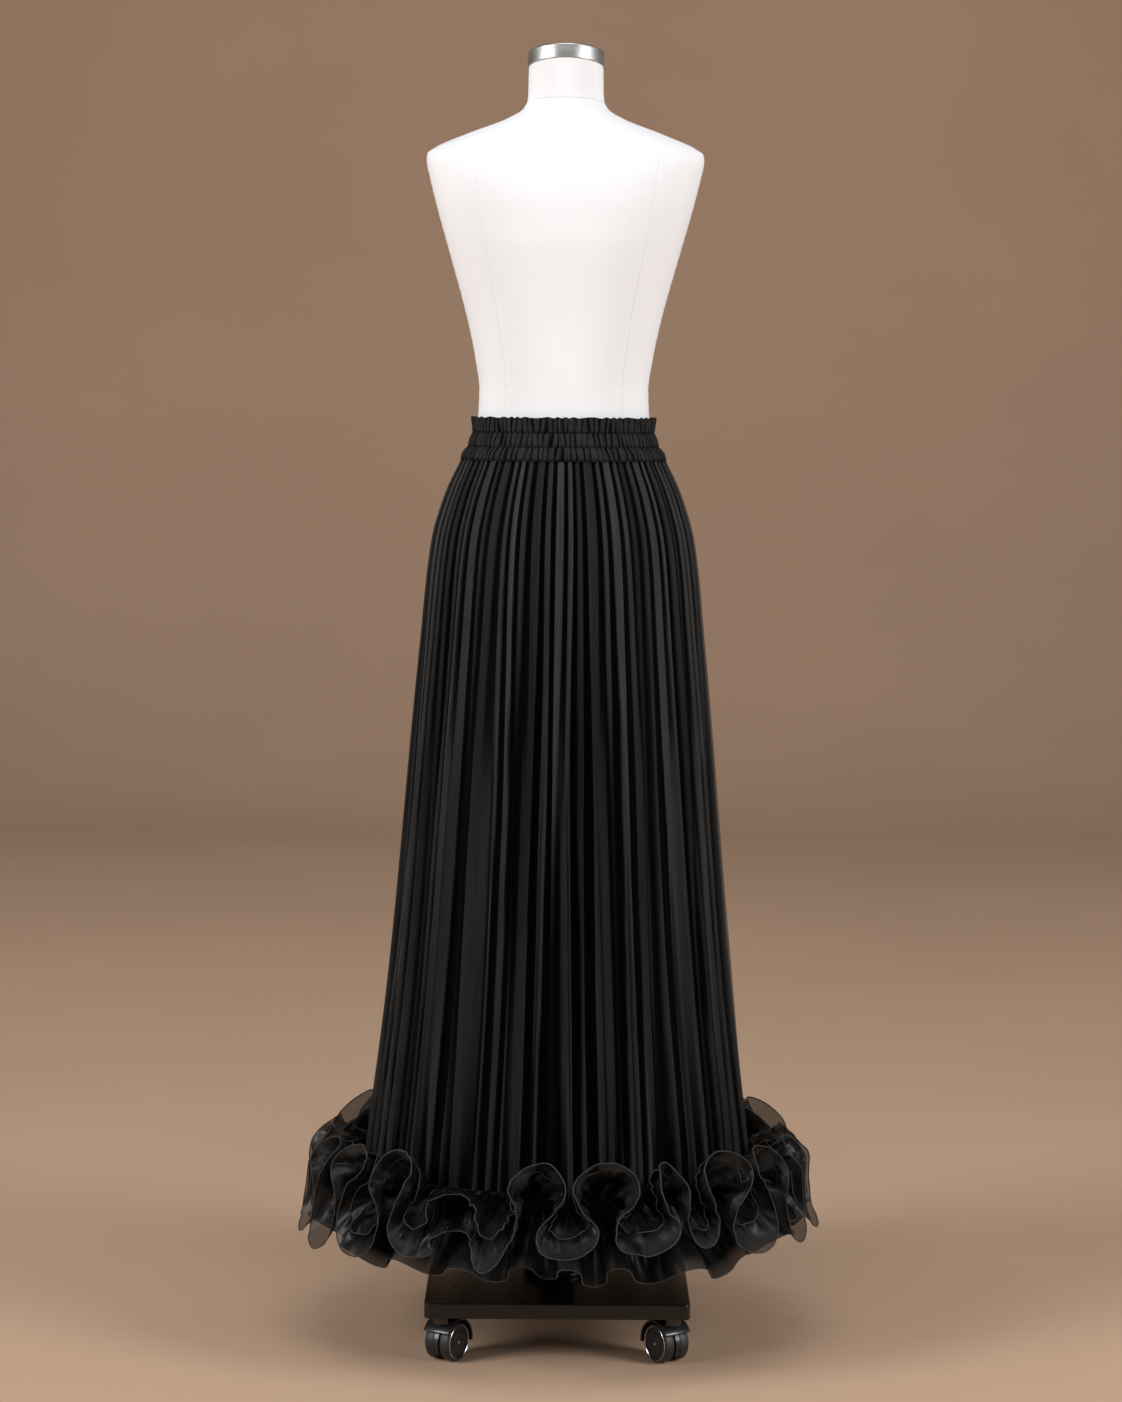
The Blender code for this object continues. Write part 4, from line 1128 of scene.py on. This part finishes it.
# %% [markdown]
# ## The corded edge
#
# A stiff cord is rolled into the organza's edge. It is what holds the loops open, and it draws
# the fine outline of each loop. It follows the same function at full depth: a thin round curve
# through those points, made into a mesh. The cords of the hidden edges are a little finer.

# %% Helpers for cords
CORD_RADIUS = 0.0008
FINE_CORD_RADIUS = 0.0007


def cord_along(name, points, radius):
    """A thin round tube along a line of points, as a mesh."""
    line = bpy.data.curves.new(name, "CURVE")
    line.dimensions = "3D"
    spline = line.splines.new("POLY")
    spline.points.add(len(points) - 1)
    spline.points.foreach_set("co", np.c_[points, np.ones(len(points))].ravel())
    line.bevel_depth = radius
    line.bevel_resolution = 1
    line.use_fill_caps = True
    drawn = bpy.data.objects.new(name + "_line", line)
    bpy.context.scene.collection.objects.link(drawn)
    depsgraph = bpy.context.evaluated_depsgraph_get()
    mesh = bpy.data.meshes.new_from_object(drawn.evaluated_get(depsgraph))
    bpy.data.objects.remove(drawn)
    mesh.name = name
    made = bpy.data.objects.new(name, mesh)
    bpy.context.scene.collection.objects.link(made)
    return smooth(made)


cord_finish = material("cord_thread", (0.026, 0.0255, 0.025), 0.48, Sheen_Weight=0.10,
                       Specular_IOR_Level=0.25)
twist = stretched_noise(cord_finish, "Object", (900.0, 900.0, 900.0), 1.0)
tinted(cord_finish, twist, (0.016, 0.0157, 0.0154), (0.038, 0.0372, 0.0365))


def edge_cord(name, points, radius):
    """A cord in its finish, on the body, with its length printed."""
    cord = cord_along(name, points, radius)
    dress(cord, cord_finish)
    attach(cord, "body")
    run = np.linalg.norm(np.diff(points, axis=0), axis=1).sum()
    print(cord.name, "runs", round(float(run), 2), "m")
    return cord


print("cord helpers ready")

# %% Cord along the outer edge
for side, (first, last) in RUFFLE_SPLITS.items():
    turn = np.linspace(first, last, 1100)
    edge_points = np.stack(on_ruffle(turn, whole(turn), 0)[:3], axis=1)
    edge_cord("edge_cord_" + side, edge_points, CORD_RADIUS)

# %% [markdown]
# ## The second layer and the length under it
#
# The ruffle is doubled. Its inner layer is a little shorter and lies inside the loops, so they
# are nearly black inside and sheer only near the outer cord, and each loop shows two outlines.
# Where the outer layer flops forward, the inner one keeps its place and reaches nearly as far, as
# a flat lip behind it. Two layers of cloth let no light through but close to their edge, so the
# inner finish is opaque and only its last centimetre and a half is a little sheer.
#
# Under the loops hangs another, shorter length from the same seam. Its lower edge curls in
# smaller waves, and hides the pole.

# %% Organza over organza
# Its base colour is painted light and shade by the shade value too, up to a darker grey.
dense = black_organza("black_organza_doubled", 1.0, 0.12, 0.016)
on_cloth = node(dense, "ShaderNodeTexCoord")
split_uv = node(dense, "ShaderNodeSeparateXYZ")
sheer_edge = node(dense, "ShaderNodeMapRange", From_Min=0.001, From_Max=0.016,
                  To_Min=0.86, To_Max=1.0)
link(dense, on_cloth.outputs["UV"], split_uv, "Vector")
link(dense, split_uv.outputs["Y"], sheer_edge, "Value")
link(dense, sheer_edge.outputs["Result"], shader_of(dense), "Alpha")
print("doubled organza nodes:", len(dense.node_tree.nodes))

# %% Hang the inner layer
def inner_depth(turn):
    """How deep the inner layer is along its edge, next to the outer one's 1."""
    usual = 0.74 + 0.05 * np.sin(math.tau * 11.0 * turn + 0.5)
    usual = usual + 0.03 * np.sin(math.tau * 27.0 * turn)
    flopped = along_ruffle(turn % 1.0)[4]
    return usual + (0.97 - usual) * flopped


inner_pieces, inner_cords = [], []
for side, (first, last) in RUFFLE_SPLITS.items():
    place = ruffle_length(first, last, inner_depth, 1)
    inner = hang("ruffle_" + side + "_inner", 800, 26, place, (2.0, 0.084))
    dress(inner, dense)
    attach(inner, "body")
    inner_pieces.append(inner)
    turn = np.linspace(first, last, 1000)
    inner_points = np.stack(on_ruffle(turn, inner_depth(turn), 1)[:3], axis=1)
    inner_cords.append(edge_cord("inner_cord_" + side, inner_points, FINE_CORD_RADIUS))
    print(inner.name, "area", round(cloth_area(inner), 3), "square metres")

# %% The lower length's curls
UNDER_SECTIONS = (
    # depth, z,    out,     swell
    (0.0, 0.2407, -0.00775, 0.0),
    (0.37, 0.2050, 0.0040, 0.0040),
    (1.0, 0.1500, 0.0540, 0.0100),
)
UNDER_WAVES = 12.0
UNDER_CURLS = 23
UNDER_GATHERS = 62.0
UNDER_GATHER_HEIGHT = 0.0020
UNDER_LUMP_SIZE = 0.024
UNDER_LUMP_HEIGHT = 0.0050
CURL_REACH = 0.014
CURL_HEIGHT = 0.015
curl_progress, curl_rise = pendulum(86.0, 6.0)


def on_under(turned, depth):
    """Points and painted shade of the lower length: depth 0 at the seam and 1 at its curled edge.
    """
    z, out, swell = through(UNDER_SECTIONS, depth).T
    wave = np.sin(UNDER_WAVES * turned + 0.9 * np.sin(5.0 * turned))
    place = turned / math.tau * UNDER_CURLS + 0.30 * np.sin(3.0 * turned)
    place = (place + 0.12 * np.sin(7.0 * turned)) % 1.0
    samples = np.linspace(0.0, 1.0, len(curl_rise))
    curl = np.interp(place, samples, curl_rise)
    sway = (np.interp(place, samples, curl_progress) - place) * math.tau / UNDER_CURLS
    loose = ease(0.25, 1.0, depth)
    big = 0.70 + 0.30 * np.sin(5.0 * turned + 1.0) * np.sin(8.0 * turned)
    flat = np.stack([0.30 * np.cos(turned), 0.30 * np.sin(turned), 0.1 * depth], axis=1)
    lumps = crumple(flat, UNDER_LUMP_SIZE, 41.0)
    pinched = ease(0.0, 0.12, depth) * (1.0 - ease(0.45, 0.95, depth))
    gathers = np.abs(np.sin(UNDER_GATHERS * turned + 1.5 * np.sin(17.0 * turned)))
    gathers = 1.0 - 2.0 * gathers ** 0.8
    crumpled = UNDER_LUMP_HEIGHT * lumps * ease(0.1, 0.5, depth) * (1.0 - 0.5 * loose)
    small = UNDER_GATHER_HEIGHT * gathers * pinched + crumpled
    reach = out + swell * wave + small + CURL_REACH * curl * loose * big
    x, y = egg(turned + sway * loose * big, HEM_HALF_WIDTH + reach, HEM_DEPTH + reach,
               HEM_DEPTH + reach)
    # Painted shade and light: dark near the seam under the loops, lighter on the loose, curled
    # edge, on the gathers and on the lumps.
    shade = 0.01 + 0.40 * loose + 0.25 * curl * loose + 0.22 * gathers * pinched
    shade = shade + 0.60 * lumps * (0.3 + 0.7 * loose)
    hang_down = CURL_HEIGHT * curl * big + 0.006 * np.sin(5.0 * turned + 2.0)
    return x, y, z + hang_down * loose + 0.5 * small * loose, shade


print("curls of the lower length:", UNDER_CURLS)

# %% Hang the lower length
under_pieces, under_cords = [], []
for side, first_angle in HALVES:
    place = half_round(on_under, first_angle, 1.0, 0.0)
    under = hang("under_ruffle_" + side, 640, 30, place, (0.95, 0.100))
    dress(under, dense)
    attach(under, "body")
    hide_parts("ruffle_under_" + side)
    under_pieces.append(under)
    turned_edge = np.linspace(first_angle, first_angle + math.pi, 900)
    under_points = np.stack(on_under(turned_edge, np.ones_like(turned_edge))[:3], axis=1)
    under_cords.append(edge_cord("under_cord_" + side, under_points, FINE_CORD_RADIUS))
    print(under.name, "area", round(cloth_area(under), 3), "square metres")

# %% [markdown]
# ## The stand
#
# A square plate with a low gloss paint carries a centre pole with a flanged collar. The plate is
# a cube with its corners and then its edges bevelled; its large faces stay flat in the shading.
# Pole and collar are turned.

# %% Make the plate
PLATE_SIZE = (0.340, 0.340, 0.020)
PLATE_MIDDLE_Z = 0.072
PLATE_CORNER = 0.008
PLATE_EDGE = 0.0014
LARGE_FACE = 0.001


def edges_where(shape, test):
    return [edge for edge in shape.edges if test(edge)]


def rise_of(edge):
    return abs(edge.verts[0].co.z - edge.verts[1].co.z)


def bevelled(shape, edges, width, segments):
    """Rounds some edges of a bmesh in place."""
    bmesh.ops.bevel(
        shape, geom=edges, affect="EDGES", offset=width, segments=segments, profile=0.5, material=-1
    )


shape = bmesh.new()
bmesh.ops.create_cube(shape, size=1.0)
bmesh.ops.scale(shape, vec=PLATE_SIZE, verts=shape.verts)
bmesh.ops.translate(shape, vec=(0.0, 0.0, PLATE_MIDDLE_Z), verts=shape.verts)
bevelled(shape, edges_where(shape, lambda edge: rise_of(edge) > 0.01), PLATE_CORNER, 6)
bevelled(shape, edges_where(shape, lambda edge: rise_of(edge) < 1e-6), PLATE_EDGE, 3)
plate = smooth(new_piece("base_plate", shape), 30)
for face in plate.data.polygons:
    face.use_smooth = face.area < LARGE_FACE
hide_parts("stand_plate")
print("plate faces:", len(plate.data.polygons))

# %% Turn the pole and its collar
pole = turned("centre_pole", [(0.0, 0.0823), (0.016, 0.0823), (0.016, 0.8497), (0.0, 0.8497)], 48)
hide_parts("stand_pole")
collar = turned("pole_collar", [
    (0.0163, 0.0823), (0.0440, 0.0823), (0.0450, 0.0833), (0.0450, 0.0873), (0.0440, 0.0883),
    (0.0240, 0.0883), (0.0225, 0.0898), (0.0225, 0.1213), (0.0215, 0.1223), (0.0163, 0.1223),
    (0.0163, 0.0823),
], 48)
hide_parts("stand_collar")

gloss = material("black_gloss_paint", (0.005, 0.005, 0.005), 0.24, Coat_Weight=0.10,
                 Coat_Roughness=0.12, Specular_IOR_Level=0.35)
orange_peel = stretched_noise(gloss, "Object", (160.0, 160.0, 160.0), 2.0)
varied(gloss, orange_peel, 0.20, 0.30, "Roughness")
bumped(gloss, [(orange_peel, 0.12, 0.0004)])
for piece in (plate, pole, collar):
    dress(piece, gloss)
    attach(piece, "body")
print("paint nodes:", len(gloss.node_tree.nodes))

# %% [markdown]
# ## The casters
#
# Each caster has twin discs under a hood that is one moulding with the web between the discs and
# the stem's boss. A thin bright ring sits in each disc's face and a small screw in its hub. Every
# caster is made in the same way, round its own axle, and then laid where the table says. Its hood
# rides on the swivelling body and its discs on the rolling one, so that both joints work.

# %% Plastic, tread and bright metal
plastic = material("caster_plastic", (0.012, 0.012, 0.013), 0.30, Coat_Weight=0.15)
grain = stretched_noise(plastic, "Object", (500.0, 500.0, 500.0), 2.0)
varied(plastic, grain, 0.26, 0.36, "Roughness")
bumped(plastic, [(grain, 0.10, 0.0002)])
tread = material("caster_tread", (0.022, 0.022, 0.023), 0.50)
scuffs = stretched_noise(tread, "Object", (220.0, 220.0, 220.0), 4.0)
tinted(tread, scuffs, (0.009, 0.009, 0.010), (0.022, 0.021, 0.021))
varied(tread, scuffs, 0.42, 0.60, "Roughness")
bumped(tread, [(scuffs, 0.15, 0.0003)])
bright = material("bright_rim", (0.55, 0.54, 0.53), 0.18, Metallic=1.0)
rim_marks = stretched_noise(bright, "Object", (700.0, 700.0, 700.0), 2.0)
varied(bright, rim_marks, 0.14, 0.26, "Roughness")
print("caster finishes:", plastic.name, tread.name, bright.name)

# %% A caster's turned parts
SOLID_SIDES = 18
SOLID_RADIUS = 0.0255
AXLE_Z = SOLID_RADIUS * math.cos(math.pi / SOLID_SIDES)
WHEEL_RADIUS = AXLE_Z
DISC_INNER = 0.0040
DISC_OUTER = 0.0185
RING_INSET = 0.0036
BOSS_PROFILE = (
    # radius, height
    (0.0, 0.0500), (0.0092, 0.0500), (0.0110, 0.0512), (0.0110, 0.0606), (0.0106, 0.0610),
    (0.0040, 0.0610), (0.0040, 0.0736), (0.0, 0.0740),
)
SCREW_PROFILE = (
    # radius, place along the axle
    (0.0, 0.0180), (0.0026, 0.0180), (0.0026, 0.0188), (0.0020, 0.0194), (0.0, 0.0196),
)


def disc_profile():
    """One disc of a caster, from its inner face to its outer face, along the axle."""
    inner, outer, r = DISC_INNER, DISC_OUTER, WHEEL_RADIUS
    return [
        (0.0, inner), (r - 0.0022, inner), (r - 0.0006, inner + 0.0006), (r, inner + 0.0022),
        (r, outer - 0.0024), (r - 0.0008, outer - 0.0008), (r - 0.0030, outer - 0.0001),
        (r - 0.0052, outer - 0.0001), (r - 0.0058, outer - 0.0016), (r - 0.0110, outer - 0.0016),
        (r - 0.0120, outer - 0.0004), (0.0, outer),
    ]


def ring_profile():
    """The bright ring that is let into a disc's face."""
    r, outer = WHEEL_RADIUS - RING_INSET, DISC_OUTER
    return [
        (r - 0.0006, outer - 0.0006), (r + 0.0008, outer - 0.0006), (r + 0.0008, outer + 0.0000),
        (r, outer + 0.0004), (r - 0.0006, outer + 0.0000), (r - 0.0006, outer - 0.0006),
    ]


print("wheel radius", round(WHEEL_RADIUS, 4), "m")

# %% A caster's hood and web
HOOD_INNER = SOLID_RADIUS + 0.0022
HOOD_OUTER = SOLID_RADIUS + 0.0050
HOOD_HALF_WIDTH = 0.0197
HOOD_BEGIN = math.radians(-8.0)
HOOD_SWEEP = math.radians(156.0)
HOOD_EDGE = 0.0009
WEB_RADIUS = 0.0262
WEB_WIDTH = 0.0060
WEB_CUT = ((0, 0, -0.006), (0.35, 0, -1))


def hood_moulding():
    """The fender over the discs: two points are spun to a strip, and the strip is pushed across."""
    shape = bmesh.new()
    points = [
        shape.verts.new((r * math.cos(HOOD_BEGIN), -HOOD_HALF_WIDTH, r * math.sin(HOOD_BEGIN)))
        for r in (HOOD_INNER, HOOD_OUTER)
    ]
    rib = shape.edges.new(points)
    bmesh.ops.spin(
        shape, geom=points + [rib], cent=(0, 0, 0), axis=(0, -1, 0), angle=HOOD_SWEEP, steps=28
    )
    pushed = bmesh.ops.extrude_face_region(shape, geom=shape.faces[:])
    bmesh.ops.translate(shape, vec=(0, 2 * HOOD_HALF_WIDTH, 0), verts=points_in(pushed["geom"]))
    bmesh.ops.recalc_face_normals(shape, faces=shape.faces)
    bevelled(shape, edges_where(shape, lambda edge: edge.calc_face_angle(0.0) > 1.0), HOOD_EDGE, 2)
    return shape


def web_moulding():
    """The web between the discs: a thin disc on its edge, with its lower part cut away."""
    shape = bmesh.new()
    bmesh.ops.create_cone(
        shape, cap_ends=True, segments=40, radius1=WEB_RADIUS, radius2=WEB_RADIUS, depth=WEB_WIDTH
    )
    upright = Matrix.Rotation(math.pi / 2, 3, "X")
    bmesh.ops.rotate(shape, cent=(0, 0, 0), matrix=upright, verts=shape.verts)
    bmesh.ops.bisect_plane(
        shape, geom=shape.verts[:] + shape.edges[:] + shape.faces[:],
        plane_co=WEB_CUT[0], plane_no=WEB_CUT[1], clear_outer=True,
    )
    bmesh.ops.holes_fill(shape, edges=shape.edges, sides=0)
    return shape


def caster_piece(piece, finish, place, body):
    """Lays a piece of a caster in its place and lets it ride on a body of the solid model."""
    put(piece, place)
    dress(piece, finish)
    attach(piece, body)
    return piece


print("hood and web helpers ready")

# %% Four casters
TRAIL = 0.013
CASTERS = (
    # corner, x, y, degrees that the trail is turned
    ("back_left", -0.148, -0.148, 58.0),
    ("back_right", 0.148, -0.148, 124.0),
    ("front_left", -0.148, 0.148, -50.0),
    ("front_right", 0.148, 0.148, -112.0),
)
for corner, x, y, trail in CASTERS:
    swivel, discs = "swivel_" + corner, "discs_" + corner
    stem = Matrix.Translation((x, y, 0.0))
    turned_to = stem @ Matrix.Rotation(math.radians(trail), 4, "Z")
    axle = turned_to @ Matrix.Translation((TRAIL, 0.0, AXLE_Z))
    hood = new_piece("hood_" + corner, hood_moulding())
    smooth(caster_piece(hood, plastic, axle, swivel), 30)
    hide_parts("caster_" + corner + "_hood")
    web = new_piece("web_" + corner, web_moulding())
    smooth(caster_piece(web, plastic, axle, swivel), 30)
    boss = turned("boss_" + corner, BOSS_PROFILE, 32)
    caster_piece(boss, plastic, stem, swivel)
    for side, sign in (("a", 1.0), ("b", -1.0)):
        lay = axle @ Matrix.Rotation(-math.pi / 2 * sign, 4, "X")
        ending = corner + "_" + side
        disc = caster_piece(turned("disc_" + ending, disc_profile(), 56), tread, lay, discs)
        ring = caster_piece(turned("ring_" + ending, ring_profile(), 56), bright, lay, discs)
        screw = caster_piece(turned("screw_" + ending, SCREW_PROFILE, 20), bright, lay, discs)
        if side == "a":
            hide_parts("caster_" + corner + "_wheels")
print("casters placed:", [row[0] for row in CASTERS])
